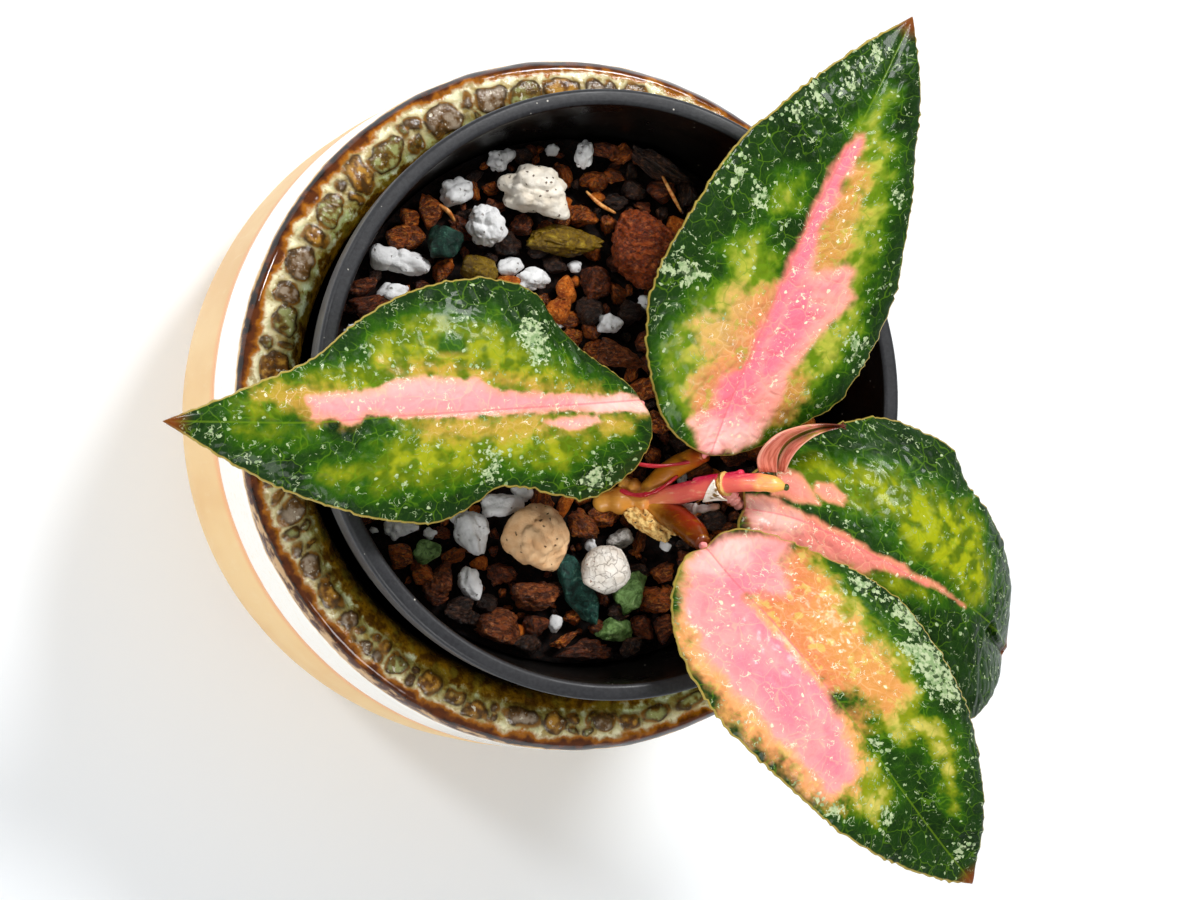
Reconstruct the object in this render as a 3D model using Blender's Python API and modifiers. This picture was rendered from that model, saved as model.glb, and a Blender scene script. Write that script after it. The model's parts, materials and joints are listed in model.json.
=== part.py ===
"""Potted hoya: five leaves on a short creeping stem, in a black growing pot inside a stoneware cover pot.

Metres, +Z up. The origin is the middle of the cover pot's flat foot, which rests on the surface.
+X and +Y are the right and the top of the plant as seen from above.
"""
import math
import random

import bmesh
import bpy
from mathutils import Matrix, Vector, noise

MM = 0.001
GAP = 0.35 * MM
SHARP_ANGLE = math.radians(40)

# Cover pot, turned about Z: (radius, height) in mm from the middle of the floor, over the rim, to the foot
COVER_FLOOR = (0.0, 6.5)
COVER_INSIDE = ((38.5, 6.5), (46.5, 13.0), (51.5, 24.0), (53.8, 38.0), (53.0, 54.0), (50.8, 65.5))
COVER_RIM = ((50.8, 65.5), (51.0, 68.6), (52.8, 71.3), (55.4, 72.3), (57.8, 71.4), (58.9, 69.8), (59.2, 67.5))
COVER_OUTSIDE = ((59.2, 67.5), (59.6, 55.0), (59.9, 40.0), (59.3, 23.0), (57.0, 12.0), (52.0, 4.0),
                 (44.0, 0.0))
COVER_STRETCHES = ((COVER_INSIDE, 6), (COVER_RIM, 7), (COVER_OUTSIDE, 9))
COVER_STEPS = 48

# Growing pot: a tapered wall with a thick turned-down lip. It stands a little off the cover pot's axis.
POT_PLACE = (-1.0 * MM, 0.3 * MM, 0.0)
POT_TOP = 94.5 * MM
POT_BASE = 6.8 * MM
POT_RIM_RADIUS = 50.0 * MM
POT_MOUTH_RADIUS = 47.2 * MM
POT_SKIRT = 8.0 * MM
POT_SHOULDER_RADIUS = 48.0 * MM
POT_BASE_RADIUS = 36.0 * MM
POT_WALL = 1.3 * MM
POT_EDGE = 0.5 * MM
POT_STEPS = 48
DRAIN_HOLES = 6
DRAIN_HOLE_RADIUS = 3.5 * MM
DRAIN_HOLE_SIDES = 10
DRAIN_CIRCLE_RADIUS = 22.0 * MM

# Everything below stands in the growing pot's own frame, whose axis is the pot's.

# Potting mix: a tapered plug with chips bedded in its top on a sunflower spiral
MIX_TOP = 75.0 * MM
MIX_SLACK = 0.5 * MM
CHIPS = 92
CHIP_RADIUS = (3.2 * MM, 5.0 * MM)
CHIP_DEPTH = (1.2, 1.9)
CHIP_HEIGHT = (1.1, 1.7)
CHIP_LIFT = (-0.6 * MM, 1.0 * MM)
CHIP_STRAY = 0.08
CHIP_BUMPS = 0.2
CHIP_ROUNDNESS = 1
SEED = 11

# Loose grains on the mix: name, finish, centre (x, y, z) in mm, size (x, y, z) in mm, turn in degrees
GRAINS = (
    ("perlite_1", "perlite", (-10.0, 34.4, 80.0), (12.2, 9.4, 8.6), 0),
    ("perlite_2", "perlite", (-18.1, 28.5, 79.0), (6.6, 7.4, 6.4), 20),
    ("perlite_3", "perlite", (-22.6, 34.2, 77.7), (5.8, 4.8, 4.6), 10),
    ("perlite_4", "perlite", (-31.0, 22.0, 77.6), (8.0, 4.2, 4.4), -12),
    ("perlite_5", "perlite", (-33.6, 16.8, 77.2), (6.2, 4.0, 4.2), 8),
    ("perlite_6", "perlite", (-9.5, 20.0, 77.1), (4.8, 3.8, 4.0), 15),
    ("perlite_7", "perlite", (-15.3, 39.8, 77.1), (4.0, 3.8, 3.8), 0),
    ("perlite_8", "perlite", (-0.6, 41.4, 78.5), (3.4, 5.0, 4.0), -10),
    ("perlite_9", "perlite", (-19.9, -22.7, 78.1), (6.2, 7.6, 5.6), 20),
    ("perlite_10", "perlite", (-20.1, -30.9, 77.3), (4.0, 6.0, 4.2), 10),
    ("perlite_11", "perlite", (-32.2, -21.6, 78.0), (5.4, 4.2, 4.2), 15),
    ("perlite_12", "perlite", (4.2, 12.8, 77.1), (4.2, 3.6, 4.0), -20),
    ("clay_ball", "clay", (10.3, 25.6, 79.0), (13.0, 14.2, 11.6), 0),
    ("beige_ball", "pumice", (-10.0, -23.3, 80.5), (11.2, 11.4, 10.6), 0),
    ("white_ball", "perlite", (2.1, -28.7, 82.1), (8.6, 8.2, 7.6), 0),
    ("olive_pebble", "olive", (-3.9, 26.6, 78.3), (13.6, 5.4, 4.8), -2),
    ("olive_stone", "olive", (-19.2, 21.0, 79.0), (6.8, 5.0, 5.0), -25),
    ("teal_stone_1", "teal", (-25.0, 25.6, 79.0), (6.6, 6.0, 5.4), 10),
    ("teal_stone_2", "teal", (-1.6, -32.2, 77.4), (13.0, 5.2, 5.0), -68),
    ("green_stone_1", "green", (7.7, -32.2, 77.8), (8.4, 4.8, 4.6), 62),
    ("green_stone_2", "green", (5.0, -38.9, 77.6), (6.6, 4.8, 4.6), 10),
    ("green_stone_3", "green", (-27.6, -25.4, 77.5), (5.4, 4.2, 4.4), 30),
    ("grey_stone", "grey", (6.0, -23.4, 77.6), (4.8, 3.6, 4.0), 0),
    ("bark_1", "bark", (-15.0, -37.9, 77.6), (8.4, 6.0, 5.6), -10),
    ("bark_2", "bark", (-8.9, -33.0, 77.8), (9.0, 5.2, 5.4), 8),
    ("bark_3", "bark", (6.0, 7.4, 78.0), (9.0, 5.0, 5.4), -15),
    ("bark_4", "bark", (-25.3, -30.4, 77.6), (4.8, 7.6, 5.2), -25),
)
GRAIN_FINISHES = {
    "perlite": ((0.82, 0.80, 0.76), 0.9),
    "clay": ((0.34, 0.10, 0.045), 0.9),
    "pumice": ((0.72, 0.55, 0.36), 0.9),
    "olive": ((0.30, 0.27, 0.03), 0.6),
    "teal": ((0.03, 0.13, 0.11), 0.6),
    "green": ((0.18, 0.33, 0.12), 0.6),
    "grey": ((0.42, 0.42, 0.40), 0.7),
    "bark": ((0.16, 0.06, 0.03), 0.85),
}
GRAIN_BUMPS = 0.12
GRAIN_ROUNDNESS = 2
BUMP_PITCH = 3.1

# Stem system: name, path in mm from root to end, radii in mm at the root and at the end
STEMS = (
    ("rhizome", ((1.0, -19.0, 77.0), (3.8, -17.6, 78.0), (8.0, -17.4, 79.0), (12.5, -18.0, 80.0)), 1.9, 2.5),
    ("knob", ((4.6, -13.6, 77.2), (6.7, -14.5, 78.4), (9.2, -15.9, 79.4), (11.5, -17.2, 80.2)), 1.4, 1.9),
    ("main_stem", ((9.2, -17.3, 79.5), (12.8, -16.9, 83.0), (17.0, -15.8, 89.0), (21.9, -14.7, 94.8),
                   (25.2, -14.5, 98.3), (27.5, -15.1, 99.6)), 2.3, 1.2),
    ("lower_petiole", ((12.5, -17.8, 80.2), (14.9, -19.9, 84.0), (15.6, -22.6, 89.0),
                       (15.0, -24.9, 94.4)), 2.1, 1.7),
    ("top_petiole", ((10.3, -17.0, 80.0), (12.1, -13.7, 83.0), (14.3, -10.9, 86.2),
                     (16.5, -9.8, 90.9)), 2.1, 1.3),
    ("left_petiole", ((2.9, -1.6, 96.6), (4.6, -4.3, 93.0), (5.7, -8.0, 89.0), (8.2, -10.8, 86.5),
                      (12.8, -11.5, 86.2), (16.2, -10.2, 88.2)), 0.8, 0.8),
    ("red_runner", ((5.5, -15.1, 79.5), (8.9, -16.4, 81.8), (11.2, -15.0, 83.8),
                    (12.8, -12.6, 85.8)), 0.6, 0.6),
    ("right_petiole", ((20.0, -15.6, 91.6), (21.6, -17.2, 91.2), (22.8, -18.2, 90.6)), 1.1, 0.8),
)
STEM_SPANS = 6
STUB_CENTRE = (11.0, -21.0, 81.0)
STUB_SIZE = (9.4, 4.4, 3.8)
STUB_TURN = -32
STUB_BUMPS = 0.25

# Leaves, in mm from above: midrib (x, y, z), then the two edges (x, y) from the stalk to the tip.
# rise and arch set the cross-section: each half climbs from the midrib by rise and bends down by arch.
# wave is how far the edge sways up and down, waves how often, and phase where along the leaf.
LEAVES = {
    "leaf_left": {
        "midrib": ((2.6, -1.3, 98), (-7.6, -2.3, 101), (-24.8, -3.8, 104), (-39.2, -5.0, 105),
                   (-52.9, -6.2, 104), (-65.8, -6.2, 101), (-74.8, -6.0, 97)),
        "edges": (
            ((2.6, -1.3), (1.3, 0.3), (-2.4, 3.0), (-7.3, 5.9), (-11.8, 10.2), (-15.7, 15.5), (-21.7, 17.2),
             (-29.9, 16.7), (-36.4, 14.9), (-46.0, 9.3), (-52.9, 3.7), (-62.1, -0.7), (-74.8, -6.0)),
            ((2.6, -1.3), (4.3, -3.9), (4.5, -7.4), (2.7, -11.2), (-1.5, -15.0), (-7.3, -17.5),
             (-12.8, -16.8), (-17.4, -15.9), (-22.4, -15.8), (-27.0, -18.8), (-31.7, -21.2), (-38.6, -21.4),
             (-48.4, -19.5), (-58.0, -15.9), (-65.2, -12.2), (-74.8, -6.0)),
        ),
        "rise": 0.16, "arch": 0.30, "wave": 1.0, "waves": 3, "phase": 0.4,
    },
    "leaf_top": {
        "midrib": ((16.7, -9.9, 92), (18.5, -0.9, 97), (21.9, 10.2, 102), (25.9, 21.7, 106),
                   (31.3, 34.3, 109), (37.6, 46.2, 110), (46.5, 62.2, 108)),
        "edges": (
            ((16.7, -9.9), (13.1, -8.5), (8.8, -5.1), (5.8, 1.4), (4.1, 9.4), (4.0, 15.7), (5.9, 22.7),
             (9.8, 29.5), (12.7, 34.6), (16.9, 40.5), (22.1, 45.5), (29.7, 51.7), (37.9, 57.2), (46.5, 62.2)),
            ((16.7, -9.9), (21.2, -9.6), (27.0, -7.4), (32.3, -4.4), (37.3, -1.0), (40.5, 4.0), (43.6, 10.1),
             (45.9, 17.5), (46.1, 25.4), (46.8, 35.2), (47.5, 46.6), (47.0, 55.6), (46.5, 62.2)),
        ),
        "rise": 0.12, "arch": 0.26, "wave": 0.7, "waves": 3, "phase": 1.2,
    },
    "leaf_lower": {
        "midrib": ((14.7, -25.2, 95.5), (17.2, -30.7, 102), (21.7, -36.8, 106.5), (26.8, -43.5, 109),
                   (33.2, -51.6, 110), (40.8, -60.8, 108.5), (50.3, -71.3, 105), (60.8, -81.0, 99)),
        "edges": (
            ((14.7, -25.2), (11.6, -26.0), (8.4, -30.4), (7.1, -37.1), (8.3, -43.5), (10.5, -48.5),
             (13.7, -53.7), (18.9, -58.6), (25.6, -64.5), (34.3, -71.6), (44.6, -76.6), (53.7, -79.7),
             (60.8, -81.0)),
            ((14.7, -25.2), (17.3, -22.7), (22.3, -22.3), (27.0, -23.9), (32.8, -26.7), (39.7, -30.2),
             (45.6, -34.3), (49.9, -40.2), (53.8, -46.9), (58.1, -54.6), (60.2, -62.6), (60.9, -71.8),
             (60.8, -81.0)),
        ),
        "rise": 0.14, "arch": 0.28, "wave": 0.7, "waves": 3, "phase": 2.0,
    },
    "leaf_right": {
        "midrib": ((23.1, -18.5, 92), (29.6, -20.2, 97), (35.6, -23.2, 100.5), (43.0, -27.1, 102),
                   (52.2, -31.7, 101.5), (61.0, -35.1, 98.5), (68.1, -38.9, 93), (74.0, -42.6, 85)),
        "edges": (
            ((23.1, -18.5), (22.8, -14.9), (25.6, -11.4), (30.8, -7.8), (38.0, -4.6), (45.8, -3.2),
             (52.9, -5.3), (58.5, -8.4), (61.1, -14.3), (65.5, -18.8), (70.0, -25.3), (72.5, -31.3),
             (73.2, -36.4), (74.0, -42.6)),
            ((23.1, -18.5), (21.8, -20.5), (22.2, -24.6), (26.4, -32.1), (32.5, -40.3), (41.0, -48.6),
             (52.8, -54.1), (61.2, -55.2), (66.5, -52.8), (70.3, -48.9), (72.6, -45.6), (74.0, -42.6)),
        ),
        "rise": 0.05, "arch": 0.27, "wave": 0.5, "waves": 2, "phase": 0.5,
    },
    "leaf_young": {
        "midrib": ((23.6, -12.9, 98), (23.8, -10.3, 99.5), (26.4, -7.8, 101.5), (30.8, -5.9, 103.5),
                   (36.0, -4.8, 104)),
        "edges": (
            ((23.6, -12.9), (22.0, -10.2), (25.0, -6.3), (30.4, -4.2), (36.0, -4.8)),
            ((23.6, -12.9), (25.2, -10.8), (27.6, -9.0), (31.3, -7.3), (36.0, -4.8)),
        ),
        "rise": 0.9, "arch": 0.0, "wave": 0.0, "waves": 1, "phase": 0.0,
    },
}
LEAF_GRID = {"rows": 30, "cells": 3, "thickness": 1.2, "tooth": 0.45}
YOUNG_LEAF_GRID = {"rows": 12, "cells": 2, "thickness": 0.8, "tooth": 0.0}
EDGE_LEAD = 0.85
FULL_WAVE_WIDTH = 8.0
SECOND_EDGE_PHASE = 2.1

# Bract: a papery three-cornered scale over the upper side of the main stem, in mm
BRACT_START = Vector((15.4, -16.2, 86.7))
BRACT_END = Vector((19.2, -15.3, 91.6))
BRACT_RADIUS = 2.75
BRACT_FLARE = 0.5
BRACT_THICKNESS = 0.6
BRACT_SPAN = math.radians(150)
BRACT_MIDDLE = math.radians(40)
BRACT_TAPER = 0.85
BRACT_ROWS = 4
BRACT_CELLS = 5


def clear_scene():
    for old in list(bpy.data.objects):
        bpy.data.objects.remove(old, do_unlink=True)


def new_collection(name):
    collection = bpy.data.collections.new(name)
    bpy.context.scene.collection.children.link(collection)
    return collection


def material(name, colour, roughness):
    made = bpy.data.materials.new(name)
    made.use_nodes = True
    shader = made.node_tree.nodes["Principled BSDF"]
    shader.inputs["Base Color"].default_value = (*colour, 1.0)
    shader.inputs["Roughness"].default_value = roughness
    shader.inputs["Metallic"].default_value = 0.0
    return made


def add_object(name, mesh, collection, finish=None):
    made = bpy.data.objects.new(name, mesh)
    collection.objects.link(made)
    if finish:
        mesh.materials.append(finish)
    return made


def mesh_from(name, build):
    """Make a mesh by running build on an empty bmesh."""
    bm = bmesh.new()
    build(bm)
    mesh = bpy.data.meshes.new(name)
    bm.to_mesh(mesh)
    bm.free()
    return mesh


def evaluated_mesh(source):
    graph = bpy.context.evaluated_depsgraph_get()
    return bpy.data.meshes.new_from_object(source.evaluated_get(graph))


def apply_modifiers(target):
    mesh = evaluated_mesh(target)
    mesh.name = target.name
    target.modifiers.clear()
    target.data = mesh


def thicken(target, thickness):
    solid = target.modifiers.new("Thickness", "SOLIDIFY")
    solid.thickness = thickness
    solid.offset = 0.0


def keep_largest_body(target):
    """Drop the loose scraps that a cut leaves beside the main body."""
    bm = bmesh.new()
    bm.from_mesh(target.data)
    bodies = []
    unseen = set(bm.verts)
    while unseen:
        front = [unseen.pop()]
        body = list(front)
        while front:
            vert = front.pop()
            for edge in vert.link_edges:
                other = edge.other_vert(vert)
                if other in unseen:
                    unseen.remove(other)
                    front.append(other)
                    body.append(other)
        bodies.append(body)
    bodies.sort(key=len)
    for scrap in bodies[:-1]:
        bmesh.ops.delete(bm, geom=scrap, context="VERTS")
    bm.to_mesh(target.data)
    bm.free()


def boolean_with(target, operands, operation):
    """Join or cut target with every object of a collection, then remove those objects."""
    for operand in operands.objects:
        operand.hide_render = True
        operand.display_type = "WIRE"
    modifier = target.modifiers.new(operation.title(), "BOOLEAN")
    modifier.operation = operation
    modifier.operand_type = "COLLECTION"
    modifier.collection = operands
    modifier.solver = "EXACT"
    apply_modifiers(target)
    for used in list(operands.objects):
        bpy.data.objects.remove(used, do_unlink=True)
    bpy.data.collections.remove(operands)
    keep_largest_body(target)


def smooth_path(points, shares):
    """Points at the given shares of the length of a smooth curve through the given points."""
    points = [Vector(point) for point in points]
    spans = [(b - a).length for a, b in zip(points, points[1:])]
    total = sum(spans)
    spans = [span / total for span in spans]
    knots = [0.0]
    for span in spans:
        knots.append(knots[-1] + span)
    slopes = [(b - a) / span for a, b, span in zip(points, points[1:], spans)]
    tangents = [slopes[0]]
    for i in range(1, len(slopes)):
        before, after = spans[i - 1], spans[i]
        tangents.append((slopes[i - 1] * after + slopes[i] * before) / (before + after))
    tangents.append(slopes[-1])
    found = []
    for share in shares:
        i = 0
        while i < len(spans) - 1 and share > knots[i + 1]:
            i += 1
        t = (share - knots[i]) / spans[i]
        found.append(
            (2 * t**3 - 3 * t**2 + 1) * points[i] + (t**3 - 2 * t**2 + t) * spans[i] * tangents[i]
            + (3 * t**2 - 2 * t**3) * points[i + 1] + (t**3 - t**2) * spans[i] * tangents[i + 1])
    return found


def even_shares(count):
    return [i / count for i in range(count + 1)]


def turned(name, profile, steps, collection, finish):
    """Turn a profile of (radius, height) that starts and ends on the Z axis."""
    def build(bm):
        verts = [bm.verts.new((radius, 0.0, height)) for radius, height in profile]
        for a, b in zip(verts, verts[1:]):
            bm.edges.new((a, b))
    made = add_object(name, mesh_from(name, build), collection, finish)
    screw = made.modifiers.new("Turn", "SCREW")
    screw.steps = steps
    screw.render_steps = steps
    screw.use_merge_vertices = True
    screw.merge_threshold = 0.01 * MM
    apply_modifiers(made)
    made.data.shade_smooth()
    made.data.set_sharp_from_angle(angle=SHARP_ANGLE)
    return made


def cover_pot(collection):
    profile = [Vector((*COVER_FLOOR, 0.0))]
    for stretch, count in COVER_STRETCHES:
        points = [Vector((*point, 0.0)) for point in stretch]
        start = 0 if stretch is COVER_INSIDE else 1
        profile += smooth_path(points, even_shares(count))[start:]
    profile.append(Vector((0.0, 0.0, 0.0)))
    points = [(point.x * MM, point.y * MM) for point in profile]
    stoneware = material("stoneware", (0.72, 0.47, 0.25), 0.45)
    return turned("ceramic_pot", points, COVER_STEPS, collection, stoneware)


def pot_inner_radius(height):
    """Radius of the growing pot's tapered inner wall at a height."""
    share = (height - POT_BASE) / (POT_TOP - POT_SKIRT - POT_BASE)
    return POT_BASE_RADIUS + share * (POT_SHOULDER_RADIUS - POT_BASE_RADIUS) - POT_WALL


def drain_drills():
    drills = new_collection("drain drills")
    height = POT_BASE + POT_WALL / 2
    for i in range(DRAIN_HOLES + 1):
        reach = DRAIN_CIRCLE_RADIUS if i else 0.0
        turn = i * math.tau / DRAIN_HOLES
        place = Matrix.Translation((reach * math.cos(turn), reach * math.sin(turn), height))

        def build(bm, place=place):
            bmesh.ops.create_cone(bm, cap_ends=True, segments=DRAIN_HOLE_SIDES, radius1=DRAIN_HOLE_RADIUS,
                                  radius2=DRAIN_HOLE_RADIUS, depth=4 * POT_WALL, matrix=place)
        add_object("drill", mesh_from("drill", build), drills)
    return drills


def growing_pot(collection):
    skirt_foot = POT_TOP - POT_SKIRT
    floor = POT_BASE + POT_WALL
    profile = [
        (0.0, floor),
        (pot_inner_radius(floor), floor),
        (pot_inner_radius(skirt_foot), skirt_foot),
        (POT_MOUTH_RADIUS, POT_TOP - POT_EDGE),
        (POT_MOUTH_RADIUS + POT_EDGE, POT_TOP),
        (POT_RIM_RADIUS - POT_EDGE, POT_TOP),
        (POT_RIM_RADIUS, POT_TOP - POT_EDGE),
        (POT_RIM_RADIUS - POT_EDGE, skirt_foot),
        (POT_SHOULDER_RADIUS, skirt_foot),
        (POT_BASE_RADIUS, POT_BASE),
        (0.0, POT_BASE),
    ]
    black_plastic = material("black_plastic", (0.02, 0.02, 0.022), 0.4)
    made = turned("nursery_pot", profile, POT_STEPS, collection, black_plastic)
    boolean_with(made, drain_drills(), "DIFFERENCE")


def lump(name, centre, size, turn, roundness, bumps, collection, finish=None, grow=0.0):
    """An irregular stone: a ball stretched to size, turned about Z, and dented by smooth noise."""
    dent_place = Vector(centre) / MM

    def build(bm):
        bmesh.ops.create_icosphere(bm, subdivisions=roundness, radius=0.5)
        for vert in bm.verts:
            dent = 1.0 + bumps * noise.noise(vert.co * BUMP_PITCH + dent_place)
            vert.co = Vector([(side + 2 * grow) * value for side, value in zip(size, vert.co)]) * dent
        place = Matrix.Translation(centre) @ Matrix.Rotation(turn, 4, "Z")
        bmesh.ops.transform(bm, matrix=place, verts=bm.verts)
    return add_object(name, mesh_from(name, build), collection, finish)


def grain_shape(name, collection, place, size, turn, finish=None, grow=0.0):
    centre = [value * MM for value in place]
    size = [value * MM for value in size]
    lump(name, centre, size, math.radians(turn), GRAIN_ROUNDNESS, GRAIN_BUMPS, collection, finish, grow)


def loose_grains(collection):
    finishes = {kind: material(kind, *look) for kind, look in GRAIN_FINISHES.items()}
    for name, kind, place, size, turn in GRAINS:
        grain_shape(name, collection, place, size, turn, finishes[kind])


def tube(name, points, radii, lengthen, collection):
    """A tapering closed tube along a smooth path in mm, as a mesh. lengthen pushes both its ends outwards."""
    points = [Vector(point) for point in points]
    start = points[0] + (points[0] - points[1]).normalized() * lengthen
    end = points[-1] + (points[-1] - points[-2]).normalized() * lengthen
    curve = bpy.data.curves.new(name, "CURVE")
    curve.dimensions = "3D"
    curve.bevel_depth = 1.0
    curve.bevel_resolution = 2
    curve.use_fill_caps = True
    spline = curve.splines.new("POLY")
    spline.points.add(STEM_SPANS)
    shares = even_shares(STEM_SPANS)
    path = smooth_path([start, *points[1:-1], end], shares)
    for point, place, share in zip(spline.points, path, shares):
        point.co = (*place, 1.0)
        point.radius = radii[0] + (radii[1] - radii[0]) * share
    made = add_object(name, curve, collection)
    mesh = evaluated_mesh(made)
    bm = bmesh.new()
    bm.from_mesh(mesh)
    bmesh.ops.remove_doubles(bm, verts=bm.verts, dist=0.001)
    bmesh.ops.scale(bm, vec=(MM, MM, MM), verts=bm.verts)
    bm.to_mesh(mesh)
    bm.free()
    bpy.data.objects.remove(made, do_unlink=True)
    add_object(name, mesh, collection)


def stem_shapes(collection, grow=0.0):
    extra = grow / MM
    for name, points, start_radius, end_radius in STEMS:
        tube(name, points, (start_radius + extra, end_radius + extra), extra, collection)
    centre = [value * MM for value in STUB_CENTRE]
    size = [value * MM for value in STUB_SIZE]
    lump("stub", centre, size, math.radians(STUB_TURN), GRAIN_ROUNDNESS, STUB_BUMPS, collection, grow=grow)


def stem(collection):
    branches = new_collection("branches")
    stem_shapes(branches)
    made = branches.objects["rhizome"]
    made.name = "stem"
    branches.objects.unlink(made)
    collection.objects.link(made)
    boolean_with(made, branches, "UNION")
    made.data.materials.clear()
    made.data.materials.append(material("stem", (0.62, 0.22, 0.12), 0.5))
    made.data.shade_smooth()


def under_grain(place):
    """Whether a place on the mix is covered by a loose grain."""
    for _, _, (x, y, _), (width, depth, _), _ in GRAINS:
        if math.hypot(place[0] - x * MM, place[1] - y * MM) < (width + depth) / 4 * MM:
            return True
    return False


def mix_chips():
    draw = random.Random(SEED)
    chips = new_collection("chips")
    golden_turn = math.pi * (3 - math.sqrt(5))
    mix_radius = pot_inner_radius(MIX_TOP) - MIX_SLACK
    for i in range(CHIPS):
        radius = draw.uniform(*CHIP_RADIUS)
        reach = (mix_radius - radius * (1 + CHIP_BUMPS / 2)) * math.sqrt((i + 0.5) / CHIPS)
        turn = i * golden_turn + draw.uniform(-CHIP_STRAY, CHIP_STRAY)
        centre = (reach * math.cos(turn), reach * math.sin(turn), MIX_TOP + draw.uniform(*CHIP_LIFT))
        size = (radius * 2, radius * draw.uniform(*CHIP_DEPTH), radius * draw.uniform(*CHIP_HEIGHT))
        spin = draw.uniform(0, math.pi)
        if not under_grain(centre):
            lump("chip_%d" % i, centre, size, spin, CHIP_ROUNDNESS, CHIP_BUMPS, chips)
    return chips


def grain_and_stem_sockets():
    sockets = new_collection("sockets")
    for name, _, place, size, turn in GRAINS:
        grain_shape(name + "_socket", sockets, place, size, turn, grow=GAP)
    stem_shapes(sockets, grow=GAP)
    return sockets


def potting_mix(collection):
    """A tapered plug of mix, its top covered with chips, with sockets for the loose grains and the stem."""
    foot = POT_BASE + POT_WALL + GAP
    foot_radius = pot_inner_radius(foot) - MIX_SLACK
    top_radius = pot_inner_radius(MIX_TOP) - MIX_SLACK
    place = Matrix.Translation((0.0, 0.0, (MIX_TOP + foot) / 2))

    def build(bm):
        bmesh.ops.create_cone(bm, cap_ends=True, segments=POT_STEPS, radius1=foot_radius, radius2=top_radius,
                              depth=MIX_TOP - foot, matrix=place)
    mix = material("potting_mix", (0.10, 0.045, 0.025), 0.9)
    made = add_object("potting_mix", mesh_from("potting_mix", build), collection, mix)
    boolean_with(made, mix_chips(), "UNION")
    boolean_with(made, grain_and_stem_sockets(), "DIFFERENCE")


def leaf_surface(shape, rows, cells, tooth):
    """Rows of points across a leaf, from one edge over the midrib to the other, in mm."""
    shares = even_shares(rows)
    ribs = smooth_path(shape["midrib"], shares)
    flats = [Vector((rib.x, rib.y, 0.0)) for rib in ribs]
    sides = []
    for edge in shape["edges"]:
        path = [Vector((x, y, 0.0)) for x, y in edge]
        sides.append(smooth_path(path, [share**EDGE_LEAD for share in shares]))
    surface = []
    for i in range(1, rows):
        row = []
        for step in range(-cells, cells + 1):
            side = 0 if step < 0 else 1
            t = abs(step) / cells
            out = sides[side][i] - flats[i]
            width = out.length
            if abs(step) == cells and i % 2 and 2 < i < rows - 1:
                out *= 1 + tooth / max(width, tooth)
            sway = math.sin(math.tau * shape["waves"] * shares[i] + shape["phase"] + SECOND_EDGE_PHASE * side)
            lift = width * (shape["rise"] * t - shape["arch"] * t * t)
            lift += shape["wave"] * sway * t * t * min(width / FULL_WAVE_WIDTH, 1.0)
            row.append(flats[i] + out * t + Vector((0.0, 0.0, ribs[i].z + lift)))
        surface.append(row)
    return ribs[0], surface, ribs[-1]


def leaf(name, shape, grid, collection, finish):
    base, surface, tip = leaf_surface(shape, grid["rows"], grid["cells"], grid["tooth"])

    def build(bm):
        rows = [[bm.verts.new(point * MM) for point in row] for row in surface]
        for lower, upper in zip(rows, rows[1:]):
            for j in range(2 * grid["cells"]):
                a, b, c, d = lower[j], lower[j + 1], upper[j + 1], upper[j]
                bm.faces.new((a, b, c))
                bm.faces.new((a, c, d))
        base_vert = bm.verts.new(base * MM)
        tip_vert = bm.verts.new(tip * MM)
        for a, b in zip(rows[0], rows[0][1:]):
            bm.faces.new((base_vert, b, a))
        for a, b in zip(rows[-1], rows[-1][1:]):
            bm.faces.new((tip_vert, a, b))
        bmesh.ops.recalc_face_normals(bm, faces=bm.faces)
    made = add_object(name, mesh_from(name, build), collection, finish)
    thicken(made, grid["thickness"] * MM)


def leaves(collection):
    green = material("leaf", (0.10, 0.24, 0.04), 0.35)
    pink = material("young_leaf", (0.55, 0.18, 0.14), 0.4)
    for name, shape in LEAVES.items():
        if name == "leaf_young":
            leaf(name, shape, YOUNG_LEAF_GRID, collection, pink)
        else:
            leaf(name, shape, LEAF_GRID, collection, green)


def bract(collection):
    axis = BRACT_END - BRACT_START
    across = axis.cross(Vector((0.0, 0.0, 1.0))).normalized()
    up = across.cross(axis).normalized()

    def build(bm):
        rows = []
        for share in even_shares(BRACT_ROWS):
            span = BRACT_SPAN * (1.0 - BRACT_TAPER * share)
            reach = BRACT_RADIUS + BRACT_FLARE * share
            row = []
            for place in even_shares(BRACT_CELLS):
                angle = BRACT_MIDDLE + span * (place - 0.5)
                out = up * math.cos(angle) + across * math.sin(angle)
                row.append(bm.verts.new((BRACT_START + axis * share + out * reach) * MM))
            rows.append(row)
        for lower, upper in zip(rows, rows[1:]):
            for j in range(BRACT_CELLS):
                bm.faces.new((lower[j], lower[j + 1], upper[j + 1], upper[j]))
        bmesh.ops.triangulate(bm, faces=bm.faces)
        bmesh.ops.recalc_face_normals(bm, faces=bm.faces)
    papery = material("bract", (0.70, 0.55, 0.35), 0.7)
    made = add_object("sheath", mesh_from("sheath", build), collection, papery)
    thicken(made, BRACT_THICKNESS * MM)


def stand_in_cover(collection, cover):
    """Carry the growing pot and all that is in it on one empty, set down in the cover pot."""
    carrier = bpy.data.objects.new("growing_pot_place", None)
    contents = [piece for piece in collection.objects if piece is not cover]
    collection.objects.link(carrier)
    carrier.location = POT_PLACE
    for piece in contents:
        piece.parent = carrier


clear_scene()
hoya = new_collection("potted_hoya")
cover = cover_pot(hoya)
growing_pot(hoya)
potting_mix(hoya)
loose_grains(hoya)
stem(hoya)
bract(hoya)
leaves(hoya)
stand_in_cover(hoya, cover)
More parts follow.
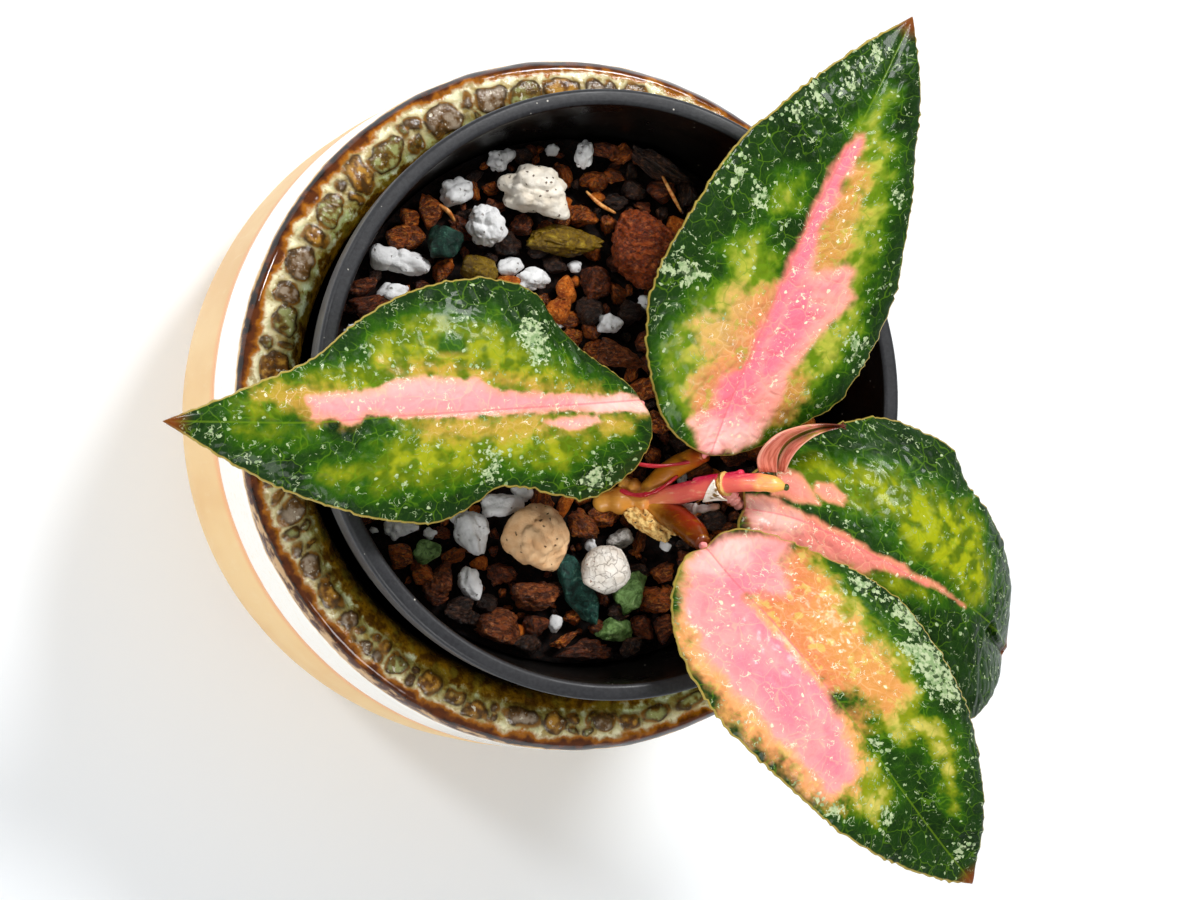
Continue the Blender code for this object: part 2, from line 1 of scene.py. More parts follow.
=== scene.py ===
"""Looks of the potted hoya: glazed cover pot, black growing pot, mix and grains, stems and five leaves.

Lengths are in mm until a mesh is made. Plant and mix are placed from the growing pot's own axis, as in the CAD.
"""
import json
import math

import bmesh
import bpy
import numpy as np
from mathutils import Matrix, Vector

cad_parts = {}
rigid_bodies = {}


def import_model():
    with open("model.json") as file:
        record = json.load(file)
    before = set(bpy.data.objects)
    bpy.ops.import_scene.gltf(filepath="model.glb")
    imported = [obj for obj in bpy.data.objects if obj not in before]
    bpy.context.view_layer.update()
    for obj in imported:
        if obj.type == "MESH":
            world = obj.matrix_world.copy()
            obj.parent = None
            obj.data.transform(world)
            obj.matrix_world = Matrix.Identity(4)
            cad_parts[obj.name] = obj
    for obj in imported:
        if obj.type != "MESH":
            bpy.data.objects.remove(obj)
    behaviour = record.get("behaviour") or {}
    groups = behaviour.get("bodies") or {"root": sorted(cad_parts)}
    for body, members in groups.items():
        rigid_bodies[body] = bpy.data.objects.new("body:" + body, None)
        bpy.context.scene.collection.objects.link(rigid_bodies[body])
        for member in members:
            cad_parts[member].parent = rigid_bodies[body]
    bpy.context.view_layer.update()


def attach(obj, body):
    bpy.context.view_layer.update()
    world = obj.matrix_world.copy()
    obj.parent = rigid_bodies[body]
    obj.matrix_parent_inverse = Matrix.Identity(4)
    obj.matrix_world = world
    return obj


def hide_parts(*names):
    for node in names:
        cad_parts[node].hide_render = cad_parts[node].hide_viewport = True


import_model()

MM = 0.001
POT_PLACE = np.array((-1.0, 0.3, 0.0))

# ---------------------------------------------------------------- the same values as in the CAD source
COVER_FLOOR = (0.0, 6.5)
COVER_INSIDE = ((38.5, 6.5), (46.5, 13.0), (51.5, 24.0), (53.8, 38.0), (52.6, 52.0), (49.6, 61.5))
COVER_RIM = ((49.6, 61.5), (48.4, 65.2), (48.3, 68.4), (49.8, 70.9), (52.6, 72.2), (55.4, 72.3), (57.8, 71.4),
             (58.9, 69.8), (59.2, 67.5))
COVER_OUTSIDE = ((59.2, 67.5), (59.6, 55.0), (59.9, 40.0), (59.3, 23.0), (57.0, 12.0), (52.0, 4.0),
                 (44.0, 0.0))
POT_TOP, POT_BASE, POT_SKIRT, POT_WALL, POT_EDGE = 94.5, 6.8, 8.0, 1.3, 0.5
POT_RIM_RADIUS, POT_MOUTH_RADIUS, POT_SHOULDER_RADIUS, POT_BASE_RADIUS = 50.0, 47.2, 48.0, 36.0
MIX_TOP = 75.0

GRAINS = (
    ("perlite_1", "perlite", (-10.0, 34.4, 80.0), (12.2, 9.4, 8.6), 0),
    ("perlite_2", "perlite", (-18.1, 28.5, 79.0), (6.6, 7.4, 6.4), 20),
    ("perlite_3", "perlite", (-22.6, 34.2, 77.7), (5.8, 4.8, 4.6), 10),
    ("perlite_4", "perlite", (-31.0, 22.0, 77.6), (8.0, 4.2, 4.4), -12),
    ("perlite_5", "perlite", (-33.6, 16.8, 77.2), (6.2, 4.0, 4.2), 8),
    ("perlite_6", "perlite", (-9.5, 20.0, 77.1), (4.8, 3.8, 4.0), 15),
    ("perlite_7", "perlite", (-15.3, 39.8, 77.1), (4.0, 3.8, 3.8), 0),
    ("perlite_8", "perlite", (-0.6, 41.4, 78.5), (3.4, 5.0, 4.0), -10),
    ("perlite_9", "perlite", (-19.9, -22.7, 78.1), (6.2, 7.6, 5.6), 20),
    ("perlite_10", "perlite", (-20.1, -30.9, 77.3), (4.0, 6.0, 4.2), 10),
    ("perlite_11", "perlite", (-32.2, -21.6, 78.0), (5.4, 4.2, 4.2), 15),
    ("perlite_12", "perlite", (4.2, 12.8, 77.1), (4.2, 3.6, 4.0), -20),
    ("clay_ball", "clay", (10.3, 25.6, 79.0), (13.0, 14.2, 11.6), 0),
    ("beige_ball", "pumice", (-10.0, -23.3, 80.5), (11.2, 11.4, 10.6), 0),
    ("white_ball", "perlite", (2.1, -28.7, 82.1), (8.6, 8.2, 7.6), 0),
    ("olive_pebble", "olive", (-3.9, 26.6, 78.3), (13.6, 5.4, 4.8), -2),
    ("olive_stone", "olive", (-19.2, 21.0, 79.0), (6.8, 5.0, 5.0), -25),
    ("teal_stone_1", "teal", (-25.0, 25.6, 79.0), (6.6, 6.0, 5.4), 10),
    ("teal_stone_2", "teal", (-1.6, -32.2, 77.4), (13.0, 5.2, 5.0), -68),
    ("green_stone_1", "green", (7.7, -32.2, 77.8), (8.4, 4.8, 4.6), 62),
    ("green_stone_2", "green", (5.0, -38.9, 77.6), (6.6, 4.8, 4.6), 10),
    ("green_stone_3", "green", (-27.6, -25.4, 77.5), (5.4, 4.2, 4.4), 30),
    ("grey_stone", "grey", (6.0, -23.4, 77.6), (4.8, 3.6, 4.0), 0),
    ("bark_1", "bark", (-15.0, -37.9, 77.6), (8.4, 6.0, 5.6), -10),
    ("bark_2", "bark", (-8.9, -33.0, 77.8), (9.0, 5.2, 5.4), 8),
    ("bark_3", "bark", (6.0, 7.4, 78.0), (9.0, 5.0, 5.4), -15),
    ("bark_4", "bark", (-25.3, -30.4, 77.6), (4.8, 7.6, 5.2), -25),
)

STRAWS = (((-0.1, 35.1), (5.1, 31.7), 0.35), ((13.5, 38.4), (17.0, 32.4), 0.35), ((25.8, 42.7), (24.8, 40.8), 0.3),
          ((-26.2, 31.9), (-23.1, 29.2), 0.4), ((20.0, -16.8), (26.4, -13.3), 0.35))

def straws():
    draw = np.random.default_rng(3)
    verts, faces, count = [], [], 0
    for start, end, radius in STRAWS:
        bend = draw.uniform(-0.6, 0.6)
        points = [(*start, MIX_TOP + 3.2), ((start[0] + end[0]) / 2 + bend, (start[1] + end[1]) / 2 + bend, MIX_TOP + 4.2),
                  (*end, MIX_TOP + 3.0)]
        share = np.linspace(0, 1, 16)
        some, more, _, _ = tube(smooth_path(points, share), radius * (0.6 + 0.4 * np.sin(share * math.pi)), 8)
        verts.append(some)
        faces += [tuple(i + count for i in face) for face in more]
        count += len(some)
    f = Finish("straw", roughness=0.5)
    base = f.mix(f.step(f.noise(1.5, 3), 0.35, 0.65), srgb((196, 108, 40)), srgb((240, 178, 104)))
    add_piece("mix_straws", np.concatenate(verts) + POT_PLACE, faces, f.colour(base))



STEMS = {
    "main_stem": (((9.6, -17.3, 79.0), (12.2, -16.6, 82.5), (15.6, -15.5, 88.0), (18.6, -14.6, 93.5),
                   (21.2, -14.4, 97.0), (24.2, -14.5, 98.8), (27.4, -15.2, 99.5)), 1.95, 1.35),
    "rhizome": (((1.9, -18.0, 76.5), (3.7, -17.2, 77.6), (5.9, -17.0, 78.6), (8.4, -16.9, 79.4),
                 (10.7, -17.2, 80.0)), 1.75, 2.0),
    "knob": (((5.9, -14.0, 78.0), (7.2, -14.7, 78.9), (8.6, -15.3, 79.6), (10.4, -16.4, 80.0)), 1.55, 1.3),
    "lower_petiole": (((11.2, -17.5, 80.0), (12.9, -19.2, 83.0), (14.3, -21.4, 88.0),
                       (14.8, -24.4, 94.2)), 2.25, 1.75),
    "top_petiole": (((9.6, -16.4, 79.4), (11.6, -13.6, 82.0), (13.8, -11.2, 85.2), (15.3, -10.2, 88.0),
                     (16.4, -9.7, 90.9)), 1.7, 1.45),
    "left_petiole": (((2.9, -1.6, 96.6), (2.6, -5.5, 92.6), (3.2, -10.4, 90.0), (7.6, -11.5, 88.6),
                      (12.2, -11.2, 88.4), (17.4, -10.0, 90.0)), 0.34, 0.28),
    "red_runner": (((5.4, -15.4, 80.0), (7.8, -16.2, 81.8), (9.8, -15.8, 83.5), (11.9, -14.4, 84.8),
                    (13.4, -13.0, 85.8)), 0.42, 0.26),
    "ridge": (((15.6, -14.1, 88.4), (17.6, -13.5, 92.0), (19.6, -13.1, 95.2), (20.9, -12.8, 96.8)), 0.75, 0.42),
    "root": (((14.6, -18.0, 82.6), (17.2, -18.5, 85.2), (19.8, -18.1, 88.4)), 0.95, 0.5),
    "right_petiole": (((20.0, -15.6, 91.6), (21.6, -17.2, 91.2), (22.8, -18.2, 90.6)), 1.1, 0.8),
}
STUB = {"centre": (11.0, -21.0, 81.0), "size": (9.4, 4.4, 3.8), "turn": -32}
STUB_LOOK = {"centre": (10.2, -20.3, 81.2), "size": (10.4, 5.2, 4.2)}

LEAVES = {
    "leaf_left": {
        "midrib": ((2.6, -1.3, 98), (-7.6, -2.3, 101), (-24.8, -3.8, 104), (-39.2, -5.0, 105),
                   (-52.9, -6.2, 104), (-65.8, -6.2, 101), (-74.8, -6.0, 97)),
        "edges": (
            ((2.6, -1.3), (1.3, 0.3), (-2.4, 3.0), (-7.3, 5.9), (-11.8, 10.2), (-15.7, 15.5), (-21.7, 17.2),
             (-29.9, 16.7), (-36.4, 14.9), (-46.0, 9.3), (-52.9, 3.7), (-62.1, -0.7), (-74.8, -6.0)),
            ((2.6, -1.3), (4.3, -3.9), (4.5, -7.4), (2.7, -11.2), (-1.5, -15.0), (-7.3, -17.5),
             (-12.8, -16.8), (-17.4, -15.9), (-22.4, -15.8), (-27.0, -18.8), (-31.7, -21.2), (-38.6, -21.4),
             (-48.4, -19.5), (-58.0, -15.9), (-65.2, -12.2), (-74.8, -6.0)),
        ),
        "rise": 0.16, "arch": 0.30, "wave": 1.0, "waves": 3, "phase": 0.4,
    },
    "leaf_top": {
        "midrib": ((16.7, -9.9, 92), (18.5, -0.9, 97), (21.9, 10.2, 102), (25.9, 21.7, 106),
                   (31.3, 34.3, 109), (37.6, 46.2, 110), (46.5, 62.2, 108)),
        "edges": (
            ((16.7, -9.9), (13.1, -8.5), (8.8, -5.1), (5.8, 1.4), (4.1, 9.4), (4.0, 15.7), (5.9, 22.7),
             (9.8, 29.5), (12.7, 34.6), (16.9, 40.5), (22.1, 45.5), (29.7, 51.7), (37.9, 57.2), (46.5, 62.2)),
            ((16.7, -9.9), (21.2, -9.6), (27.0, -7.4), (32.3, -4.4), (37.3, -1.0), (40.5, 4.0), (43.6, 10.1),
             (45.9, 17.5), (46.1, 25.4), (46.8, 35.2), (47.5, 46.6), (47.0, 55.6), (46.5, 62.2)),
        ),
        "rise": 0.12, "arch": 0.26, "wave": 0.7, "waves": 3, "phase": 1.2,
    },
    "leaf_lower": {
        "midrib": ((14.7, -25.2, 95.5), (17.2, -30.7, 102), (21.7, -36.8, 106.5), (26.8, -43.5, 109),
                   (33.2, -51.6, 110), (40.8, -60.8, 108.5), (50.3, -71.3, 105), (60.8, -81.0, 99)),
        "edges": (
            ((14.7, -25.2), (11.6, -26.0), (8.4, -30.4), (7.1, -37.1), (8.3, -43.5), (10.5, -48.5),
             (13.7, -53.7), (18.9, -58.6), (25.6, -64.5), (34.3, -71.6), (44.6, -76.6), (53.7, -79.7),
             (60.8, -81.0)),
            ((14.7, -25.2), (17.3, -22.7), (22.3, -22.3), (27.0, -23.9), (32.8, -26.7), (39.7, -30.2),
             (45.6, -34.3), (49.9, -40.2), (53.8, -46.9), (58.1, -54.6), (60.2, -62.6), (60.9, -71.8),
             (60.8, -81.0)),
        ),
        "rise": 0.14, "arch": 0.28, "wave": 0.7, "waves": 3, "phase": 2.0,
    },
    "leaf_right": {
        "midrib": ((23.1, -18.5, 92), (29.6, -20.2, 97), (35.6, -23.2, 100.5), (43.0, -27.1, 102),
                   (52.2, -31.7, 101.5), (61.0, -35.1, 98.5), (68.1, -38.9, 93), (74.0, -42.6, 85)),
        "edges": (
            ((23.1, -18.5), (22.8, -14.9), (25.6, -11.4), (30.8, -7.8), (38.0, -4.6), (45.8, -3.2),
             (52.9, -5.3), (58.5, -8.4), (61.1, -14.3), (65.5, -18.8), (70.0, -25.3), (72.5, -31.3),
             (73.2, -36.4), (74.0, -42.6)),
            ((23.1, -18.5), (21.8, -20.5), (22.2, -24.6), (26.4, -32.1), (32.5, -40.3), (41.0, -48.6),
             (52.8, -54.1), (61.2, -55.2), (66.5, -52.8), (70.3, -48.9), (72.6, -45.6), (74.0, -42.6)),
        ),
        "rise": 0.05, "arch": 0.27, "wave": 0.5, "waves": 2, "phase": 0.5,
    },
    "leaf_young": {
        "midrib": ((23.6, -12.9, 98), (23.8, -10.3, 99.5), (26.4, -7.8, 101.5), (30.8, -5.9, 103.5),
                   (36.0, -4.8, 104)),
        "edges": (
            ((23.6, -12.9), (22.0, -10.2), (25.0, -6.3), (30.4, -4.2), (36.0, -4.8)),
            ((23.6, -12.9), (25.2, -10.8), (27.6, -9.0), (31.3, -7.3), (36.0, -4.8)),
        ),
        "rise": 0.9, "arch": 0.0, "wave": 0.0, "waves": 1, "phase": 0.0,
    },
}
EDGE_LEAD = 0.85
FULL_WAVE_WIDTH = 8.0
SECOND_EDGE_PHASE = 2.1

BRACT_START = np.array((15.4, -16.2, 86.7))
BRACT_END = np.array((19.2, -15.3, 91.6))

# ---------------------------------------------------------------- coloured zones of each leaf, in mm from above
ZONES = {
    "leaf_left": {
        "pink": [
            ((3.4, -1.2), (0, -0.6), (-6, -0.7), (-12, -0.8), (-20, -0.6), (-25, -0.2), (-28, 1.3), (-31, 0.9), (-34, 1.3),
             (-38, 1.0), (-41, 0.7), (-43, -0.7), (-46, -1.4), (-50, -1.6), (-54, -2.4), (-53, -5.4),
             (-49, -5.9), (-47, -6.6), (-44, -5.2), (-35, -5.1), (-30, -5.0), (-25, -4.6), (-20, -4.3),
             (-15, -4.0), (-10, -3.7), (-4, -3.6), (3.6, -3.2)),
            ((-16, -5.4), (-13, -4.7), (-9, -4.2), (-5.8, -3.9), (-5, -5.2), (-6.5, -6.1), (-9.5, -6.6),
             (-13.5, -6.5)),
        ],
        "warm": [
            ((-47, -1.3), (-50, -1.0), (-54, -0.6), (-58, -0.9), (-61, -1.4), (-59.4, -2.7), (-57, -3.6),
             (-55, -4.6), (-54, -5.8), (-47, -6.0)),
            ((3, -3.6), (-4, -4.0), (-10, -4.4), (-20, -4.9), (-30, -5.6), (-37, -6.0), (-36, -8.4), (-28, -8.8),
             (-18, -7.6), (-10, -7.2), (-3, -6.2), (1.5, -5.0)),
            ((0, -1.8), (-6, -1.0), (-14, -0.8), (-22, -0.2), (-28, 1.8), (-34, 1.8), (-40, 1.2), (-42, 2.6),
             (-34, 3.6), (-27, 2.8), (-20, 1.6), (-12, 0.4), (-5, 0)),
        ],
        "lime": [
            ((-60.5, -0.7), (-56, 0.7), (-50.5, 1.8), (-45.2, 3.1), (-41.8, 8), (-38.5, 9.3), (-34.6, 10.8),
             (-29.6, 9.5), (-24.8, 10.2), (-21, 7.3), (-16, 5.2), (-12.2, 3.3), (-8.3, 1), (-3.4, -0.4), (-6, -3),
             (-20, -3), (-40, -3), (-60, -3)),
            ((1.5, -3.4), (-10, -3.5), (-30, -5), (-41, -5.8), (-39, -7.4), (-40.5, -9.4), (-45.2, -11.8),
             (-51.5, -14.2), (-50, -15.4), (-42.8, -16.2), (-39.4, -15.8), (-35, -15.8), (-32.7, -15), (-28, -13.5),
             (-25.7, -12), (-20, -12.1), (-16, -12.3), (-11.3, -13), (-10.5, -11.1), (-6.4, -8.6), (-0.3, -6.7)),
            ((-66, -4.4), (-62, -3.3), (-58, -3.6), (-56, -4.9), (-60, -5.6), (-64.5, -5.4)),
            ((-64.5, -7.6), (-60, -7.2), (-55, -7.3), (-52.5, -8.2), (-55, -9.2), (-61, -8.9)),
        ],
        "dark": [((-33.5, 5), (-33.5, 7.5), (-31, 8.4), (-28.6, 7.2), (-29, 5))],
        "silver": [
            ((-15.2, 10.6), (-17.5, 11.2), (-19.8, 8.0), (-18, 4.6), (-16.2, 3.4), (-14.8, 5.6)),
            ((-22.8, -10.2), (-24.4, -10.4), (-25.6, -13.6), (-24.4, -14.6), (-22.8, -12.8)),
            ((-4.4, -13.4), (-6.4, -12.2), (-8.4, -14.4), (-7.2, -16.2), (-4.8, -15.2)),
        ],
        "pale": [((3.4, -0.9), (-4, -0.9), (-9, -1.8), (-6, -3.6), (3.4, -3.4))],
    },
    "leaf_top": {
        "pink": [
            ((35.4, 41.6), (33, 39.2), (31.2, 36), (30.2, 33.5), (28.9, 31), (27.5, 27.2), (26.2, 23.9),
             (24.9, 20.6), (24, 17.7), (22.7, 13.7), (21.2, 9.6), (20.2, 6), (18.9, 4.2), (16.2, 3.2),
             (15.2, 0.7), (15.4, -1.8), (11.5, -4.3), (15.3, -9.6), (21.5, -9.2), (25, -6.8), (26, -3.5),
             (27, -0.2), (27.4, 3), (29.5, 5.6), (31.4, 9), (34, 11.6), (38, 15.8), (36.3, 17.4), (37, 20),
             (34.8, 21.3), (30, 19.6), (29.6, 22.9), (30, 26.2), (31, 28.6), (33.3, 31.6), (33.5, 34),
             (35.2, 36.2), (36.5, 39.5), (37, 42)),
        ],
        "warm": [
            ((36.5, 38.5), (38, 33), (36.4, 29), (35.4, 24), (34, 20), (32, 14), (28, 8), (28, 5), (31, 2),
             (31, -1), (29, -4), (26.5, -5), (24, 0), (26, 8), (28, 20), (31, 30)),
            ((23.2, 17.5), (20.6, 17), (16.3, 16.6), (15.6, 13), (10.8, 13.2), (11.2, 8.8), (14.5, 5.5),
             (11.4, 2.6), (11.5, -1.8), (13.6, -5), (18, -4), (22, 6), (24, 14)),
        ],
        "lime": [
            ((20, 26), (15.3, 23), (16.2, 18), (11.6, 16.7), (9.6, 13), (6.9, 7.6), (7.6, 1.5), (8.6, -1.8),
             (11.2, -5), (13.8, -7.6), (20, -6), (23, 8), (24, 16), (22.5, 21)),
            ((41.5, 49), (38.3, 46), (35.6, 42.5), (33.4, 36), (30, 28), (28, 16), (25, 2), (22, -8), (27.5, -5.6),
             (30.5, -2.6), (32.8, 0.4), (34, 3), (36.4, 5.7), (37.6, 9), (38.6, 11.7), (38.6, 16), (39, 19),
             (39.7, 22.3), (40.1, 26.5), (41.3, 30.8), (40.6, 34), (42.3, 37), (42.3, 39.7), (39, 43)),
            ((22, 29), (25, 30), (26.4, 33.6), (24.2, 34.6), (22.2, 32.4)),
        ],
        "dark": [],
        "silver": [
            ((33.6, 53.8), (35.6, 53.2), (35.4, 49.8), (33.8, 49.6)),
            ((38.4, 57.4), (40.2, 56.8), (39.8, 54.6), (38.2, 54.8)), ((28, 49.6), (29.4, 48.4), (28.8, 46.4)),
            ((24, 47), (25.8, 46), (25, 44.6)), ((15.2, 36.4), (17.6, 36.6), (18, 34.2), (15.8, 33.6)),
            ((18.8, 33), (20.8, 32), (20.2, 30), (18.6, 30.4)), ((42.6, 33.4), (44.4, 32.6), (44, 30.6)),
            ((37.6, 9.6), (40.4, 8.8), (40, 5.6), (38, 6)), ((5.2, 20), (8, 21.6), (12, 19), (9, 17.4)),
        ],
        "pale": [((12, -5), (16.6, -9.8), (22, -9), (25, -5), (20, -3.6))],
    },
    "leaf_lower": {
        "pink": [
            ((13.8, -24.4), (11.4, -27), (9.4, -30), (8.2, -33.5), (8.8, -36.5), (10.2, -40.3), (12, -43.9),
             (14.4, -47.9), (18, -51.8), (22, -56.4), (26, -60.7), (28.5, -63), (29.5, -65.2), (32.5, -64.8),
             (35.1, -63.1), (35.1, -59.4), (32.5, -52.9), (31.1, -50.2), (28.2, -46), (24.9, -41.6),
             (20.2, -36.3), (18.4, -32.8), (21.3, -32.8), (24.4, -33), (25.7, -32), (25.3, -27.7),
             (27, -25.2), (27.5, -23.9), (22, -22.6), (17.3, -22.9)),
        ],
        "warm": [
            ((25.6, -27.4), (28.3, -25.3), (29.9, -26), (30.6, -29.5), (33, -29.8), (32.5, -32.4), (33.5, -35),
             (35.1, -36.3), (37.7, -39.6), (40.7, -41.9), (42.1, -44.8), (43.8, -48.2), (42.4, -51.2),
             (39.8, -52), (37.2, -51), (34.9, -48.2), (31.5, -47.4), (27, -48), (21, -41), (16, -34),
             (24, -31)),
            ((8.4, -33.5), (7.4, -36.5), (8.1, -41), (9.6, -44.4), (12, -47.9), (14.4, -52), (17, -55),
             (21, -58.6), (24.9, -62.1), (29.3, -65.8), (33, -66.4), (36, -64), (36.5, -58), (33.5, -52),
             (25, -52), (20, -46), (15, -38)),
        ],
        "lime": [
            ((29, -24.8), (33.8, -29.5), (34, -32.5), (37.5, -35.3), (39.5, -38), (42, -40.4), (44.2, -41.8),
             (46.1, -48.3), (46.1, -52.2), (49.5, -53.5), (53.3, -56), (54.1, -59.8), (54.3, -67.3),
             (52.1, -64.6), (51.3, -59.7), (46.8, -56.7), (43.2, -56.3), (40, -54), (36, -49), (30, -44),
             (26, -36), (26, -27)),
            ((31.5, -52), (36, -55.7), (40, -61.3), (42.1, -66), (38.6, -68.7), (35.1, -66.6), (31, -66.4),
             (29, -63), (30, -56)),
            ((11.5, -25.4), (8.8, -30), (8.2, -35), (8.6, -39), (9.6, -37), (10, -31), (13, -27)),
        ],
        "dark": [],
        "silver": [
            ((36.1, -30), (40.5, -29.4), (40, -31.7), (37.1, -32)),
            ((42.7, -34.5), (46.5, -34.1), (47.9, -37.3), (47.4, -40.2), (44.7, -39.2), (43.5, -36.9)),
            ((43.5, -40.2), (48.7, -40.2), (51.4, -43.8), (53.5, -48.4), (53.5, -51.4), (50.5, -50),
             (47.8, -46.7), (45.1, -44.3), (43.9, -42.6)),
            ((38, -55.6), (39.6, -56.4), (38.8, -57.8)), ((30.4, -66.6), (32.6, -67), (31.8, -68.6)),
            ((39.6, -67.8), (41.6, -68.6), (40.4, -69.8)), ((55.6, -73.6), (57.4, -74.6), (56.4, -76)),
        ],
        "pale": [((13.6, -24.6), (12, -28), (15, -30), (19.6, -27.6), (22, -23.6), (16.4, -23))],
    },
    "leaf_right": {
        "pink": [
            ((23, -16.2), (25, -16.4), (27.5, -17), (29.8, -18.7), (32.8, -20), (35.2, -21.6), (37.5, -23),
             (39.8, -24.6), (42.2, -26), (44.9, -27), (47, -27.8), (48.4, -29), (50.4, -29.6), (53.6, -30.9),
             (56, -32.6), (59.5, -34.9), (57.2, -33.9), (53.6, -32.2), (49.7, -30.8), (46.8, -29.8),
             (44.7, -28.9), (42.7, -28.4), (40, -29), (36, -27.4), (30, -26), (26, -27), (23.4, -24),
             (23.6, -20.4), (22.6, -18.8)),
            ((27.2, -12.8), (28.4, -11.7), (30.6, -12.4), (31.7, -14), (33.3, -18), (31, -17.8), (28.4, -17),
             (26.4, -16.4)),
            ((33, -13.9), (35.5, -14.5), (37.8, -16.5), (36.8, -18.2), (34.5, -17.5), (32.6, -16)),
        ],
        "warm": [((23.6, -20), (29, -21.4), (34, -24), (40, -27.2), (42, -28.8), (38, -30.6), (30, -27.6),
                  (25, -28))],
        "lime": [
            ((29.3, -11), (33, -10.3), (35.6, -11), (38.4, -11.3), (43, -12.6), (46.5, -12.5), (49, -14.5),
             (53.7, -15.8), (56.7, -17.5), (60.3, -18), (62.9, -20.7), (63.5, -24.4), (65.3, -28),
             (65.3, -31), (63.3, -33.4), (60.2, -34.3), (56.3, -31.2), (53.7, -29.6), (50.3, -27.6),
             (47.6, -25.5), (45.6, -21.4), (42, -18.8), (38, -17.8), (33, -17), (29.6, -14.6)),
            ((36, -28.4), (42, -29.2), (46, -30.4), (50, -31.8), (54, -33.4), (50, -32.8), (44, -31.4), (38, -30.8)),
        ],
        "dark": [],
        "silver": [],
        "pale": [((23, -16.6), (26, -17.2), (31, -20.6), (29, -23), (24, -22))],
    },
}

PALETTE = {
    "leaf_left": {"pink": (254, 176, 172), "hot": (253, 142, 150), "warm_low": (204, 150, 66), "tan_low": (190, 156, 56),
                  "warm_high": (200, 152, 66), "tan_high": (180, 154, 48), "lime": (152, 158, 22),
                  "olive": (88, 110, 4), "heat": 0.75, "stray": 0.35, "soft": 0.45},
    "leaf_top": {"pink": (253, 162, 150), "hot": (251, 96, 134), "warm_low": (222, 128, 88), "tan_low": (218, 172, 98),
                 "warm_high": (204, 132, 70), "tan_high": (206, 168, 80), "lime": (174, 176, 62),
                 "olive": (98, 128, 12), "heat": 0.9, "stray": 0.3, "soft": 0.8},
    "leaf_lower": {"pink": (253, 156, 154), "hot": (251, 116, 140), "warm_low": (246, 160, 104),
                   "tan_low": (250, 184, 96), "warm_high": (214, 120, 80), "tan_high": (212, 146, 76),
                   "lime": (210, 194, 96), "olive": (128, 138, 14), "heat": 1.0, "stray": 0.5, "soft": 1.3},
    "leaf_right": {"pink": (240, 146, 130), "hot": (228, 118, 110), "warm_low": (236, 158, 98), "tan_low": (232, 170, 100),
                   "warm_high": (214, 120, 90), "tan_high": (210, 150, 90), "lime": (154, 162, 10),
                   "olive": (84, 106, 2), "heat": 0.9, "stray": 0.2, "soft": 0.5},
}


# ---------------------------------------------------------------- number helpers
def smooth_path(points, shares):
    """Points at the given shares of the length of a smooth curve through the given points."""
    points, shares = np.array(points, float), np.array(shares, float)
    spans = np.linalg.norm(np.diff(points, axis=0), axis=1)
    spans /= spans.sum()
    knots = np.concatenate(([0.0], np.cumsum(spans)))
    slopes = np.diff(points, axis=0) / spans[:, None]
    before, after = spans[:-1, None], spans[1:, None]
    inner = (slopes[:-1] * after + slopes[1:] * before) / (before + after)
    tangents = np.concatenate((slopes[:1], inner, slopes[-1:]))
    i = np.clip(np.searchsorted(knots, shares) - 1, 0, len(spans) - 1)
    h = spans[i][:, None]
    t = ((shares - knots[i]) / spans[i])[:, None]
    return ((2 * t**3 - 3 * t**2 + 1) * points[i] + (t**3 - 2 * t**2 + t) * h * tangents[i]
            + (3 * t**2 - 2 * t**3) * points[i + 1] + (t**3 - t**2) * h * tangents[i + 1])


def hashed(cells, seed):
    """A repeatable number from 0 to 1 for each whole-numbered cell."""
    x, y, z = (cells[..., k].astype(np.int64) for k in range(3))
    n = (x * 73856093) ^ (y * 19349663) ^ (z * 83492791) ^ (seed * 2654435761)
    n &= 0xffffffff
    n = ((n ^ (n >> 15)) * 2246822519) & 0xffffffff
    n = ((n ^ (n >> 13)) * 3266489917) & 0xffffffff
    return ((n ^ (n >> 16)) & 0xffffff) / float(0x1000000)


def wavy(points, seed=0, octaves=1):
    """Smooth noise from -1 to 1."""
    total, weight, size = 0.0, 0.0, 1.0
    for octave in range(octaves):
        place = points * 2.0**octave + 17.3 * octave
        cell = np.floor(place)
        t = place - cell
        t = t * t * (3 - 2 * t)
        value = 0.0
        for corner in range(8):
            step = np.array([(corner >> k) & 1 for k in range(3)])
            share = np.prod(np.where(step == 1, t, 1 - t), axis=-1)
            value = value + share * hashed(cell + step, seed + octave)
        total = total + size * (value * 2 - 1)
        weight += size
        size *= 0.5
    return total / weight


def nearest(points, seed=0):
    """Distances to the two nearest scattered points, one in each unit cell, and a number for the nearest."""
    cell = np.floor(points)
    first = np.full(points.shape[:-1], 9.0)
    second = first.copy()
    tone = np.zeros(points.shape[:-1])
    for dx in (-1, 0, 1):
        for dy in (-1, 0, 1):
            for dz in (-1, 0, 1):
                near = cell + (dx, dy, dz)
                seat = near + np.stack([hashed(near, seed + k) for k in (1, 2, 3)], axis=-1)
                gap = np.linalg.norm(points - seat, axis=-1)
                closer = gap < first
                second = np.where(closer, first, np.minimum(second, gap))
                tone = np.where(closer, hashed(near, seed + 7), tone)
                first = np.where(closer, gap, first)
    return first, second, tone


def smoothstep(low, high, value):
    t = np.clip((value - low) / (high - low), 0, 1)
    return t * t * (3 - 2 * t)


